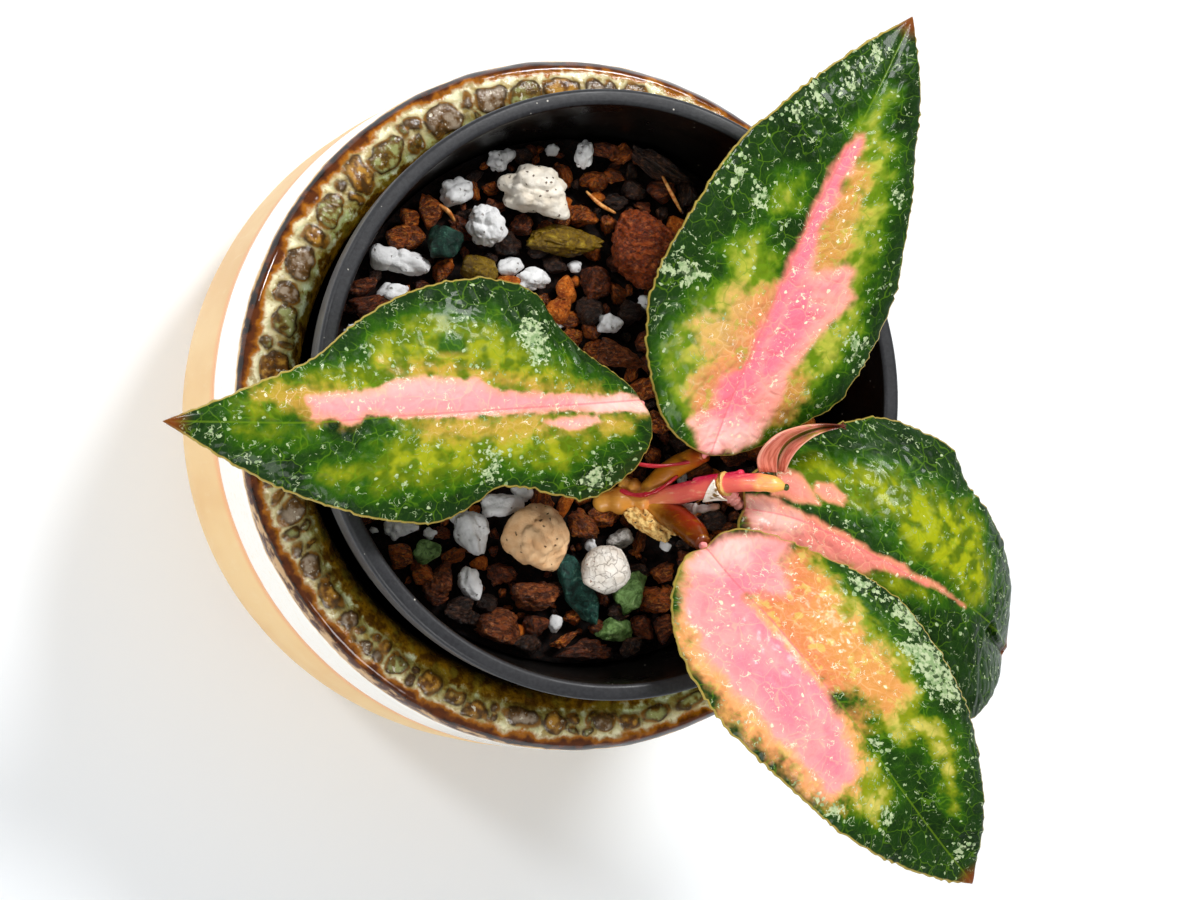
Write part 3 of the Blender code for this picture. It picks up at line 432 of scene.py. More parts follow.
def inside_depth(points, shapes):
    """How far points lie inside any of the outlines; negative outside."""
    best = np.full(len(points), -12.0)
    x, y = points[:, 0], points[:, 1]
    for shape in shapes:
        ring = np.array(shape, float)
        gap = np.full(len(points), 1e9)
        inside = np.zeros(len(points), bool)
        for a, b in zip(ring, np.roll(ring, -1, axis=0)):
            run = b - a
            t = np.clip(((points - a) @ run) / max(run @ run, 1e-9), 0, 1)
            gap = np.minimum(gap, np.linalg.norm(points - a - t[:, None] * run, axis=1))
            crosses = (a[1] > y) != (b[1] > y)
            if a[1] != b[1]:
                inside ^= crosses & (x < a[0] + (y - a[1]) * run[0] / run[1])
        best = np.maximum(best, np.where(inside, gap, -gap))
    return best


def srgb(colour):
    return tuple(c / 255 / 12.92 if c / 255 <= 0.04045 else ((c / 255 + 0.055) / 1.055) ** 2.4 for c in colour)


# ---------------------------------------------------------------- material helpers
class Finish:
    """A procedural material, put together step by step. Its place is the row frame in mm."""

    def __init__(self, name, roughness=0.5, coat=0.0, coat_roughness=0.1, specular=0.5):
        self.material = bpy.data.materials.new(name)
        self.material.use_nodes = True
        self.tree = self.material.node_tree
        self.shader = self.tree.nodes["Principled BSDF"]
        self.shader.inputs["Roughness"].default_value = roughness
        self.shader.inputs["Coat Weight"].default_value = coat
        self.shader.inputs["Coat Roughness"].default_value = coat_roughness
        self.shader.inputs["Specular IOR Level"].default_value = specular
        self.place = self.scaled(self.node("ShaderNodeTexCoord").outputs["Object"], 1000.0)
        self.normal = None

    def node(self, kind, **settings):
        made = self.tree.nodes.new(kind)
        for key, value in settings.items():
            setattr(made, key, value)
        return made

    def put(self, socket, value):
        if isinstance(value, bpy.types.NodeSocket):
            self.tree.links.new(value, socket)
        elif isinstance(value, tuple) and len(value) == 3 and socket.type == "RGBA":
            socket.default_value = (*value, 1.0)
        else:
            socket.default_value = value

    def scaled(self, vector, scale):
        made = self.node("ShaderNodeVectorMath", operation="MULTIPLY")
        self.put(made.inputs[0], vector)
        made.inputs[1].default_value = scale if isinstance(scale, tuple) else (scale, scale, scale)
        return made.outputs[0]

    def shifted(self, vector, shift):
        made = self.node("ShaderNodeVectorMath", operation="ADD")
        self.put(made.inputs[0], vector)
        self.put(made.inputs[1], shift)
        return made.outputs[0]

    def field(self, name):
        made = self.node("ShaderNodeAttribute", attribute_name=name)
        return made.outputs["Fac"]

    def vector_field(self, name):
        made = self.node("ShaderNodeAttribute", attribute_name=name)
        return made.outputs["Vector"]

    def maths(self, operation, a, b=0.0, clamp=False):
        made = self.node("ShaderNodeMath", operation=operation, use_clamp=clamp)
        self.put(made.inputs[0], a)
        self.put(made.inputs[1], b)
        return made.outputs[0]

    def noise(self, scale, detail=3.0, roughness=0.55, vector=None, distortion=0.0):
        made = self.node("ShaderNodeTexNoise")
        self.put(made.inputs["Vector"], vector or self.place)
        made.inputs["Scale"].default_value = scale
        made.inputs["Detail"].default_value = detail
        made.inputs["Roughness"].default_value = roughness
        made.inputs["Distortion"].default_value = distortion
        return made.outputs["Fac"]

    def swirl(self, vector, scale, reach):
        """The vector pushed about by smooth noise."""
        made = self.node("ShaderNodeTexNoise")
        self.put(made.inputs["Vector"], vector)
        made.inputs["Scale"].default_value = scale
        made.inputs["Detail"].default_value = 2.0
        push = self.scaled(self.shifted(made.outputs["Color"], (-0.5, -0.5, -0.5)), 2 * reach)
        return self.shifted(vector, push)

    def cells(self, scale, feature="F1", vector=None, output="Distance", randomness=1.0):
        made = self.node("ShaderNodeTexVoronoi", feature=feature)
        self.put(made.inputs["Vector"], vector or self.place)
        made.inputs["Scale"].default_value = scale
        made.inputs["Randomness"].default_value = randomness
        return made.outputs[output]

    def step(self, value, low, high):
        """0 below low and 1 above high, smooth between; high below low turns it round."""
        made = self.node("ShaderNodeMapRange", interpolation_type="SMOOTHSTEP")
        self.put(made.inputs["Value"], value)
        made.inputs["From Min"].default_value = min(low, high)
        made.inputs["From Max"].default_value = max(low, high)
        made.inputs["To Min"].default_value = 0.0 if low < high else 1.0
        made.inputs["To Max"].default_value = 1.0 if low < high else 0.0
        return made.outputs["Result"]

    def mix(self, share, a, b, blend="MIX"):
        made = self.node("ShaderNodeMix", data_type="RGBA", blend_type=blend)
        self.put(made.inputs[0], share)
        self.put(made.inputs[6], a)
        self.put(made.inputs[7], b)
        return made.outputs[2]

    def both(self, a, b):
        return self.maths("MULTIPLY", a, b)

    def more(self, a, b):
        return self.maths("MAXIMUM", a, b)

    def bump(self, height, distance, strength=1.0):
        made = self.node("ShaderNodeBump")
        made.inputs["Strength"].default_value = strength
        made.inputs["Distance"].default_value = distance * MM
        self.put(made.inputs["Height"], height)
        if self.normal:
            self.put(made.inputs["Normal"], self.normal)
        self.normal = made.outputs["Normal"]
        self.put(self.shader.inputs["Normal"], self.normal)

    def colour(self, value):
        self.put(self.shader.inputs["Base Color"], value)
        return self.material

    def rough(self, value):
        self.put(self.shader.inputs["Roughness"], value)


# ---------------------------------------------------------------- mesh helpers
def add_piece(name, verts, faces, finish, nodes=(), fields=None, sharp=None):
    """A smooth-shaded mesh from points in mm in the row frame, riding on the object's one body."""
    mesh = bpy.data.meshes.new(name)
    mesh.from_pydata((np.asarray(verts) * MM).tolist(), [], [list(map(int, face)) for face in faces])
    mesh.update()
    mesh.shade_smooth()
    if sharp:
        mesh.set_sharp_from_angle(angle=math.radians(sharp))
    for key, values in (fields or {}).items():
        values = np.asarray(values, np.float32)
        kind, slot_name = ("FLOAT_VECTOR", "vector") if values.ndim == 2 else ("FLOAT", "value")
        layer = mesh.attributes.new(key, kind, "POINT")
        layer.data.foreach_set(slot_name, values.ravel())
    mesh.materials.append(finish)
    piece = bpy.data.objects.new(name, mesh)
    bpy.context.scene.collection.objects.link(piece)
    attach(piece, "root")
    if nodes:
        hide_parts(*nodes)
    return piece


def turned(profile, steps):
    """Points and faces of a profile of (radius, height), turned about Z. Both its ends are on the axis."""
    profile = np.array(profile, float)
    angles = np.arange(steps) * math.tau / steps
    rings = profile[1:-1]
    verts = np.stack([rings[:, None, 0] * np.cos(angles), rings[:, None, 0] * np.sin(angles),
                      np.repeat(rings[:, None, 1], steps, axis=1)], axis=-1).reshape(-1, 3)
    index = np.arange(len(rings) * steps).reshape(len(rings), steps)
    ahead = np.roll(index, -1, axis=1)
    faces = np.stack([index[:-1], ahead[:-1], ahead[1:], index[1:]], axis=-1).reshape(-1, 4).tolist()
    first, last = len(verts), len(verts) + 1
    verts = np.concatenate((verts, [(0, 0, profile[0, 1]), (0, 0, profile[-1, 1])]))
    faces += [(first, int(b), int(a)) for a, b in zip(index[0], ahead[0])]
    faces += [(last, int(a), int(b)) for a, b in zip(index[-1], ahead[-1])]
    return verts, faces


_balls = {}


def ball(level):
    if level not in _balls:
        bm = bmesh.new()
        bmesh.ops.create_icosphere(bm, subdivisions=level, radius=1.0)
        points = np.array([vert.co[:] for vert in bm.verts])
        faces = np.array([[vert.index for vert in face.verts] for face in bm.faces])
        bm.free()
        _balls[level] = (points, faces)
    return _balls[level]


def spread_directions(count, draw):
    """Directions spread over the ball, each a little astray."""
    i = np.arange(count) + 0.5
    up = 1 - 2 * i / count
    turn = i * math.pi * (3 - math.sqrt(5)) + draw.uniform(0, 6)
    flat = np.sqrt(1 - up**2)
    found = np.stack([flat * np.cos(turn), flat * np.sin(turn), up], axis=-1)
    found += draw.normal(0, 0.35, found.shape)
    return found / np.linalg.norm(found, axis=1)[:, None]


def rock(level, draw, cuts=12, crisp=10.0, depth=(0.72, 1.0)):
    """A chunk with flat, more or less crisp faces, that just fills a box from -1 to 1."""
    points, faces = ball(level)
    normals = spread_directions(cuts, draw)
    depths = draw.uniform(*depth, cuts)
    reach = np.maximum(points @ normals.T, 0.0) / depths
    radius = np.minimum((reach**crisp).sum(axis=1) ** (-1 / crisp), 1.5)
    shape = points * radius[:, None]
    low, high = shape.min(axis=0), shape.max(axis=0)
    return (shape - (low + high) / 2) / ((high - low) / 2), faces


def placed(shape, centre, size, turn):
    """The shape stretched to size, turned about Z by degrees and moved."""
    c, s = math.cos(math.radians(turn)), math.sin(math.radians(turn))
    grown = shape * np.array(size) / 2
    return grown @ np.array(((c, s, 0), (-s, c, 0), (0, 0, 1))) + np.array(centre)


def outwards(points):
    return points / np.maximum(np.linalg.norm(points, axis=1), 1e-6)[:, None]


# ---------------------------------------------------------------- cover pot
def cover_profile():
    """The cover pot's profile, close-set at the rim."""
    parts = [np.array([COVER_FLOOR])]
    for stretch, count in ((COVER_INSIDE, 16), (COVER_RIM, 60), (COVER_OUTSIDE, 34)):
        path = smooth_path([(r, z, 0) for r, z in stretch], np.linspace(0, 1, count + 1))[:, :2]
        parts.append(path if stretch is COVER_INSIDE else path[1:])
    parts.append(np.array([(0.0, 0.0)]))
    return np.concatenate(parts)


def glaze_inner_limit(angle):
    """Where the pale ring of glaze ends on the inner slope, as an arc length from the rim's crest."""
    turn = np.degrees(np.mod(angle, math.tau))
    return -4.6 + 2.8 * smoothstep(190, 225, turn) * smoothstep(350, 320, turn)



def rim_cells(angle, arc, band):
    """Depth inside the nearest of the glaze's raised cells, and that cell's tone."""
    draw = np.random.default_rng(5)
    total = math.tau * 54
    limit = glaze_inner_limit(angle)
    depth = np.full(len(arc), -9.0)
    tone = np.zeros(len(arc))
    waver = 0.34 * wavy(band * 0.5, 21, 2)
    angle = angle + (1.3 * wavy(band * 0.38, 61, 2)) / 54
    height = arc + 1.1 * wavy(band * 0.42, 65, 2)
    at = 0.0
    while at < total - 1.5:
        long = draw.choice((1.1, 2.1, 3.4), p=(0.30, 0.38, 0.32)) * draw.uniform(0.85, 1.2)
        seats = [(at + long, 0.5 + draw.uniform(-0.1, 0.1), long, draw.uniform(0.36, 0.47))]
        if long < 1.5:
            seats = [(at + long, 0.28, long, 0.23), (at + long + draw.uniform(-0.5, 0.5), 0.74, long * 0.9, 0.23)]
        for run, share, half, tall in seats:
            side = (np.mod(angle - run / 54 + math.pi, math.tau) - math.pi) * 54
            near = np.abs(side) < 6
            room = 2.5 - limit[near]
            middle = 2.5 - room * share
            reach = (np.abs(side[near] / half) ** 2.2 + np.abs((height[near] - middle) / (room * tall)) ** 2.2) ** (1 / 2.2)
            found = (1 - reach) * np.minimum(half, room * tall) + waver[near]
            old = depth[near]
            tone[near] = np.where(found > old, draw.uniform(), tone[near])
            depth[near] = np.maximum(old, found)
        at += 2 * long + draw.uniform(-0.3, 0.35)
    return depth, tone


def ceramic_finish():
    f = Finish("stoneware_glazed", roughness=0.42, specular=0.38)
    arc, cell, tone, inner, slump = (f.field(key) for key in ("arc", "cell", "tone", "inner", "slump"))
    band = f.vector_field("band")
    blotch = f.noise(0.22, 4, vector=band)
    fine = f.noise(1.1, 4, vector=band)
    flame = f.noise(0.34, 3, 0.5, vector=f.scaled(band, (1, 1, 0.5)))
    specks = f.noise(2.2, 3, 0.6, vector=band)
    soft = f.noise(0.45, 4, 0.55, vector=f.shifted(band, (3.0, 8.0, 1.0)))

    tan = f.mix(f.step(f.noise(0.06, 3, vector=f.scaled(band, (1, 1, 0.3))), 0.35, 0.65), srgb((238, 200, 138)),
                srgb((230, 184, 118)))
    tan = f.mix(f.both(f.step(f.noise(0.5, 5, vector=f.scaled(band, (1, 1, 0.2))), 0.55, 0.8), 0.4), tan,
                srgb((242, 214, 164)))
    tan = f.mix(f.step(arc, 26.5, 21.5), tan, srgb((240, 164, 104)))
    cream = f.mix(f.step(fine, 0.5, 0.8), srgb((255, 252, 244)), srgb((250, 240, 220)))
    spots = f.step(specks, 0.70, 0.76)
    cream = f.mix(f.both(spots, 0.7), cream, srgb((226, 178, 96)))
    edge_line = f.step(f.maths("ADD", arc, f.maths("MULTIPLY", blotch, 0.8)), 21.6, 22.2)
    body = f.mix(edge_line, cream, tan)

    sway = f.maths("MULTIPLY", f.maths("SUBTRACT", blotch, 0.5), 2.4)
    run = f.maths("ADD", f.maths("SUBTRACT", arc, f.maths("MULTIPLY", slump, 1.1)), sway)
    smoke = f.mix(f.step(f.noise(0.7, 3, vector=f.scaled(band, (0.5, 0.5, 1.0))), 0.42, 0.6), srgb((74, 36, 14)),
                  srgb((196, 158, 112)))
    body = f.mix(f.step(run, 6.8, 6.0), body, srgb((220, 176, 110)))
    body = f.mix(f.step(run, 6.2, 5.6), body, smoke)
    dark_from = f.maths("ADD", arc, f.maths("MULTIPLY", sway, 0.5))
    dark_from = f.maths("ADD", dark_from, f.maths("MULTIPLY", slump, 0.9))
    dark = f.mix(f.both(f.step(flame, 0.50, 0.66), 0.85), srgb((12, 4, 1)), srgb((96, 44, 4)))
    dark = f.mix(f.both(f.step(specks, 0.66, 0.73), 0.8), dark, srgb((206, 112, 16)))
    body = f.mix(f.step(dark_from, 5.9, 5.4), body, dark)

    melt = f.maths("ADD", arc, f.maths("MULTIPLY", f.maths("SUBTRACT", flame, 0.5), 4.0))
    melt = f.maths("ADD", melt, f.maths("MULTIPLY", f.maths("SUBTRACT", soft, 0.5), 3.0))
    mint = f.mix(f.step(f.maths("ADD", inner, f.maths("MULTIPLY", sway, 1.2)), 0.6, 4.6), srgb((166, 178, 112)),
                 srgb((250, 242, 200)))
    mint = f.mix(f.both(f.step(soft, 0.50, 0.62), 0.8), mint, srgb((212, 222, 182)))
    mint = f.mix(f.both(f.step(soft, 0.46, 0.36), 0.7), mint, srgb((150, 116, 24)))
    mint = f.mix(f.both(f.step(fine, 0.58, 0.70), 0.5), mint, srgb((254, 250, 228)))
    body = f.mix(f.step(melt, 5.0, 3.6), body, srgb((92, 42, 2)))
    body = f.mix(f.step(melt, 3.9, 2.9), body, srgb((166, 98, 12)))
    body = f.mix(f.step(melt, 3.0, 1.9), body, mint)
    shore = f.maths("ADD", inner, f.maths("MULTIPLY", f.maths("SUBTRACT", soft, 0.5), 8.0))
    olive = f.mix(f.step(soft, 0.38, 0.62), srgb((78, 48, 2)), srgb((142, 102, 8)))
    olive = f.mix(f.both(f.step(blotch, 0.50, 0.62), 0.5), olive, srgb((140, 126, 36)))
    olive = f.mix(f.both(f.step(specks, 0.60, 0.68), 0.5), olive, srgb((60, 26, 4)))
    # Further down the inner slope the glaze goes near black: partly the glaze's own dark colour, partly painted shade
    # down in the gap between the two pots.
    olive = f.mix(f.step(f.maths("ADD", inner, sway), -2.4, -5.6), olive, srgb((14, 6, 1)))
    body = f.mix(f.step(shore, 1.2, -0.7), body, olive)

    shape = f.maths("ADD", cell, f.maths("MULTIPLY", f.maths("SUBTRACT", fine, 0.5), 0.35))
    inside = f.noise(0.62, 2, 0.5, vector=f.shifted(band, (9.0, 4.0, 2.0)))
    grey = f.mix(f.step(inside, 0.42, 0.62), srgb((96, 62, 28)), srgb((160, 142, 122)))
    green = f.mix(f.step(inside, 0.42, 0.62), srgb((104, 74, 10)), srgb((156, 160, 100)))
    amber = f.mix(f.step(inside, 0.42, 0.62), srgb((104, 58, 4)), srgb((186, 134, 48)))
    heart = f.mix(f.step(tone, 0.40, 0.42), grey, green)
    heart = f.mix(f.step(tone, 0.68, 0.70), heart, amber)
    # Pale cream flecks inside the cells: painted glints of light on the glassy glaze.
    heart = f.mix(f.both(f.step(fine, 0.60, 0.68), 0.7), heart, srgb((240, 232, 208)))
    fill = f.mix(f.step(shape, 0.25, 1.15), srgb((52, 28, 5)), heart)
    fill = f.mix(f.both(f.step(inside, 0.42, 0.33), 0.75), fill, srgb((48, 24, 4)))
    keep = f.both(f.step(melt, 3.4, 2.2), f.step(shore, -2.4, 0.2))
    # Olive ring just outside each raised cell: painted shade beside the cells.
    cell_shade_ring = f.both(f.step(shape, -0.9, 0.0), keep)
    body = f.mix(f.both(cell_shade_ring, 0.6), body, srgb((150, 124, 44)))
    body = f.mix(f.both(f.step(shape, -0.15, 0.35), f.both(keep, 0.95)), body, fill)
    glow = f.both(f.step(shape, -0.1, 0.2), f.step(shape, 0.7, 0.3))
    body = f.mix(f.both(f.both(glow, f.step(soft, 0.46, 0.58)), f.both(keep, 0.5)), body, srgb((164, 108, 22)))

    matt = f.step(arc, 21.5, 23.0)
    f.rough(f.maths("ADD", 0.05, f.maths("MULTIPLY", matt, 0.42)))
    f.bump(f.maths("MULTIPLY", f.maths("ADD", fine, soft), f.step(arc, 3.6, 2.4)), 0.28, 0.7)
    f.bump(f.noise(3.0, 3), 0.015, 0.4)
    return f.colour(body)


def ceramic_pot():
    profile = cover_profile()
    steps = 704
    verts, faces = turned(profile, steps)
    crest = int(np.argmax(profile[:, 1]))
    along = np.concatenate(([0.0], np.cumsum(np.linalg.norm(np.diff(profile, axis=0), axis=1))))
    along -= along[crest]
    arc = np.concatenate((np.repeat(along[1:-1], steps), along[:1], along[-1:]))
    angle = np.arctan2(verts[:, 1], verts[:, 0])
    band = np.stack([57 * np.cos(angle), 57 * np.sin(angle), arc], axis=-1)
    cell, tone = rim_cells(angle, arc, band)
    turn = np.degrees(np.mod(angle, math.tau))
    slump = smoothstep(185, 205, turn) * smoothstep(268, 240, turn)
    flat = verts[:, :2] / np.maximum(np.hypot(verts[:, 0], verts[:, 1]), 1e-6)[:, None]
    lean = np.stack([np.hypot(verts[:, 0], verts[:, 1]) - 53.8, verts[:, 2] - 66.0], axis=-1)
    lean /= np.maximum(np.linalg.norm(lean, axis=1), 1e-6)[:, None]
    rim = smoothstep(-9, -6, arc) * smoothstep(4.2, 2.2, arc)
    push = rim * (0.50 * smoothstep(-0.5, 0.8, cell) - 0.34 + 0.14 * wavy(band * 0.5, 3, 2))
    run = smoothstep(3.6, 4.6, arc) * smoothstep(8.5, 6.0, arc) * 0.16 * wavy(band * (0.25, 0.25, 0.6), 12, 2)
    ripple = smoothstep(10, 30, arc) * 0.10 * wavy(band * (0.08, 0.08, 0.3), 9, 2)
    normal = np.stack([flat[:, 0] * lean[:, 0], flat[:, 1] * lean[:, 0], lean[:, 1]], axis=-1)
    level = np.concatenate((flat, np.zeros((len(flat), 1))), axis=1)
    normal = np.where((arc > 8)[:, None], level, normal)
    verts = verts + normal * (push + run + ripple)[:, None]
    add_piece("cover_pot", verts, faces, ceramic_finish(), ["ceramic_pot"],
              {"arc": arc, "cell": cell, "tone": tone, "band": band, "slump": slump,
               "inner": arc - glaze_inner_limit(angle)})


# ---------------------------------------------------------------- growing pot
def pot_inner_radius(height):
    share = (height - POT_BASE) / (POT_TOP - POT_SKIRT - POT_BASE)
    return POT_BASE_RADIUS + share * (POT_SHOULDER_RADIUS - POT_BASE_RADIUS) - POT_WALL


def rounded(corners, radius, count=4):
    """The corners of an open profile, each but the ends replaced by a short arc."""
    corners = [np.array(c, float) for c in corners]
    path = [corners[0]]
    for a, b, c in zip(corners, corners[1:], corners[2:]):
        cut = min(radius, np.linalg.norm(b - a) * 0.45, np.linalg.norm(c - b) * 0.45)
        start = b + (a - b) / np.linalg.norm(a - b) * cut
        end = b + (c - b) / np.linalg.norm(c - b) * cut
        for t in np.linspace(0, 1, count):
            path.append((1 - t) ** 2 * start + 2 * t * (1 - t) * b + t * t * end)
    path.append(corners[-1])
    return np.array(path)


def black_plastic():
    f = Finish("black_plastic_moulded", roughness=0.42, specular=0.35)
    grain = f.noise(1.6, 6, 0.7)
    broad = f.noise(0.12, 3)
    base = f.mix(f.step(grain, 0.3, 0.7), srgb((30, 30, 33)), srgb((44, 45, 48)))
    # Inner walls painted nearly black: painted shade inside the pot; the plastic itself is the same as outside.
    inside = f.step(f.field("inner"), 0.4, 0.6)
    base = f.mix(inside, base, srgb((9, 7, 6)))
    dust = f.both(f.step(f.cells(0.55), 0.11, 0.06), f.step(f.noise(0.8, 1), 0.56, 0.6))
    base = f.mix(f.both(dust, 0.8), base, srgb((205, 200, 190)))
    scuff = f.both(f.step(f.noise(0.5, 6, 0.7, vector=f.scaled(f.place, (1, 1, 0.2))), 0.6, 0.8), 0.25)
    base = f.mix(scuff, base, srgb((110, 108, 104)))
    f.rough(f.maths("ADD", f.maths("MULTIPLY", f.step(broad, 0.3, 0.7), 0.16),
                    f.maths("SUBTRACT", 0.36, f.maths("MULTIPLY", inside, 0.1))))
    f.bump(grain, 0.06, 0.5)
    return f.colour(base)


def growing_pot():
    foot = POT_TOP - POT_SKIRT
    floor = POT_BASE + POT_WALL
    corners = [
        (0.0, floor), (pot_inner_radius(floor), floor), (pot_inner_radius(foot), foot),
        (POT_MOUTH_RADIUS, POT_TOP - POT_EDGE), (POT_MOUTH_RADIUS + POT_EDGE, POT_TOP),
        (POT_RIM_RADIUS - POT_EDGE, POT_TOP), (POT_RIM_RADIUS, POT_TOP - POT_EDGE),
        (POT_RIM_RADIUS - POT_EDGE, foot), (POT_SHOULDER_RADIUS, foot), (POT_BASE_RADIUS, POT_BASE),
        (0.0, POT_BASE),
    ]
    profile = rounded(corners, 0.45)
    verts, faces = turned(profile, 240)
    turn = np.arctan2(verts[:, 1], verts[:, 0])
    reach = np.hypot(verts[:, 0], verts[:, 1])
    sway = 1 + 0.0022 * np.sin(2 * turn + 0.6) * smoothstep(40, 94, verts[:, 2])
    verts[:, :2] *= sway[:, None]
    inner = np.where((reach < POT_MOUTH_RADIUS + 0.2) & (verts[:, 2] > floor - 0.3), 1.0, 0.0)
    wall = (np.abs(reach - (pot_inner_radius(verts[:, 2]) + POT_WALL)) < 0.3) & (verts[:, 2] < foot + 0.5)
    inner = np.where(wall, 0.0, inner)
    piece = add_piece("growing_pot", verts + POT_PLACE, faces, black_plastic(),
                      ["nursery_pot"], {"inner": inner})
    cutters = bpy.data.collections.new("drain_cutters")
    for i in range(7):
        reach = 22.0 if i else 0.0
        at = POT_PLACE + (reach * math.cos(i * math.tau / 6), reach * math.sin(i * math.tau / 6), floor - 0.6)
        bm = bmesh.new()
        bmesh.ops.create_cone(bm, cap_ends=True, segments=24, radius1=3.5 * MM, radius2=3.5 * MM, depth=5 * MM,
                              matrix=Matrix.Translation(Vector(at) * MM))
        mesh = bpy.data.meshes.new("drain_cutter")
        bm.to_mesh(mesh)
        bm.free()
        cutters.objects.link(bpy.data.objects.new("drain_cutter", mesh))
    cut = piece.modifiers.new("Drains", "BOOLEAN")
    cut.operand_type = "COLLECTION"
    cut.collection = cutters
    cut.solver = "EXACT"
    done = bpy.data.meshes.new_from_object(piece.evaluated_get(bpy.context.evaluated_depsgraph_get()))
    piece.modifiers.clear()
    piece.data = done
    for cutter in list(cutters.objects):
        bpy.data.objects.remove(cutter)
    bpy.data.collections.remove(cutters)


# ---------------------------------------------------------------- mix and grains
def bark_finish(name, deep, light, gleam):
    f = Finish(name, roughness=0.32, specular=0.42)
    tone, place = f.field("tone"), f.vector_field("grain")
    stretched = f.scaled(f.swirl(place, 0.3, 1.1), (0.45, 1.5, 1.5))
    ridge = f.noise(0.9, 5, 0.68, vector=stretched)
    fibre = f.noise(1.9, 4, 0.7, vector=f.scaled(f.swirl(place, 0.5, 0.8), (0.5, 1.3, 1.3)))
    fine = f.noise(2.4, 4, 0.7, vector=place)
    base = f.mix(f.step(ridge, 0.40, 0.60), srgb(deep), srgb(light))
    base = f.mix(f.both(f.step(fibre, 0.52, 0.64), 0.75), base, srgb(gleam))
    base = f.mix(f.both(f.step(fine, 0.62, 0.72), 0.6), base, srgb([min(255, c * 1.25) for c in gleam]))
    # Near-black lines along the ridges and in the low fibres: painted shade in the crevices.
    crevice_shade = f.more(f.step(f.maths("ABSOLUTE", f.maths("SUBTRACT", ridge, 0.47)), 0.030, 0.008),
                     f.step(fibre, 0.41, 0.35))
    base = f.mix(f.both(crevice_shade, 0.92), base, srgb((8, 3, 1)))
    base = f.mix(f.both(f.step(tone, 0.35, 0.0), 0.45), base, srgb((22, 9, 4)))
    f.bump(f.maths("ADD", ridge, f.maths("MULTIPLY", fibre, 0.6)), 1.1, 1.0)
    f.bump(fine, 0.25, 0.8)
    return f.colour(base)


def clay_finish():
    f = Finish("mix_clay", roughness=0.45, specular=0.3)
    tone = f.field("tone")
    patch = f.noise(0.5, 4, 0.6)
    fine = f.noise(2.2, 5, 0.7)
    base = f.mix(f.step(patch, 0.36, 0.62), srgb((140, 56, 6)), srgb((216, 112, 24)))
    base = f.mix(f.both(f.step(fine, 0.54, 0.68), 0.75), base, srgb((252, 178, 84)))
    base = f.mix(f.both(f.step(fine, 0.44, 0.36), 0.8), base, srgb((50, 18, 4)))
    base = f.mix(f.both(f.step(tone, 0.3, 0.0), 0.5), base, srgb((84, 34, 8)))
    f.bump(fine, 0.6, 1.0)
    return f.colour(base)


def perlite_finish(name, light, shade, pits=0.6):
    f = Finish(name, roughness=0.75, specular=0.2)
    fine = f.noise(1.3, 5, 0.62)
    base = f.mix(f.step(f.noise(0.35, 3), 0.35, 0.7), srgb(light), srgb(shade))
    luck = f.cells(0.95, vector=f.swirl(f.place, 1.2, 0.5), output="Color")
    hole = f.step(f.cells(0.95, vector=f.swirl(f.place, 1.2, 0.5)), 0.26, 0.15)
    hole = f.both(hole, f.step(luck, 0.60, 0.64))
    base = f.mix(f.both(hole, pits), base, srgb((92, 60, 32)))
    base = f.mix(f.both(f.step(fine, 0.40, 0.28), 0.35), base, srgb([c * 0.72 for c in shade]))
    f.bump(fine, 0.30, 0.9)
    f.bump(f.maths("SUBTRACT", 1.0, hole), 0.35, 0.9)
    return f.colour(base)


def cracked_finish():
    """White perlite with fine cracks and reddish specks."""
    f = Finish("perlite_cracked", roughness=0.7, specular=0.2)
    fine = f.noise(1.3, 5, 0.62)
    place = f.swirl(f.place, 0.9, 0.9)
    seam = f.step(f.cells(0.62, "DISTANCE_TO_EDGE", vector=place), 0.05, 0.0)
    base = f.mix(f.step(f.noise(0.35, 3), 0.35, 0.7), srgb((244, 238, 228)), srgb((226, 216, 202)))
    base = f.mix(f.both(seam, 0.34), base, srgb((150, 128, 108)))
    base = f.mix(f.both(f.step(f.noise(1.5, 3), 0.66, 0.72), 0.85), base, srgb((134, 74, 34)))
    f.bump(f.maths("SUBTRACT", fine, f.maths("MULTIPLY", seam, 0.6)), 0.3, 0.9)
    return f.colour(base)



def stone_finish(name, deep, light, glint):
    f = Finish(name, roughness=0.34, specular=0.4)
    streak = f.noise(0.6, 6, 0.68, vector=f.swirl(f.place, 0.35, 1.2), distortion=0.8)
    fine = f.noise(2.0, 5, 0.65)
    base = f.mix(f.step(streak, 0.36, 0.60), srgb(deep), srgb(light))
    base = f.mix(f.both(f.step(streak, 0.56, 0.70), 0.85), base, srgb(glint))
    base = f.mix(f.both(f.step(fine, 0.44, 0.34), 0.6), base, srgb([c * 0.35 for c in deep]))
    base = f.mix(f.both(f.step(fine, 0.62, 0.72), 0.5), base, srgb([min(255, c * 1.15) for c in glint]))
    f.bump(f.maths("ADD", fine, streak), 0.5, 0.9)
    return f.colour(base)


GRAIN_LOOKS = {
    "perlite_1": ("popcorn", 5), "perlite_2": ("popcorn", 5), "clay_ball": ("fibrous", 5),
    "beige_ball": ("knobbly", 5), "white_ball": ("cracked", 5), "olive_pebble": ("ridged", 5),
    "teal_stone_2": ("folded", 4),
}
KIND_LOOKS = {"perlite": "popcorn", "clay": "fibrous", "pumice": "knobbly", "olive": "ridged", "teal": "folded",
              "green": "folded", "grey": "folded", "bark": "fibrous_chunk"}


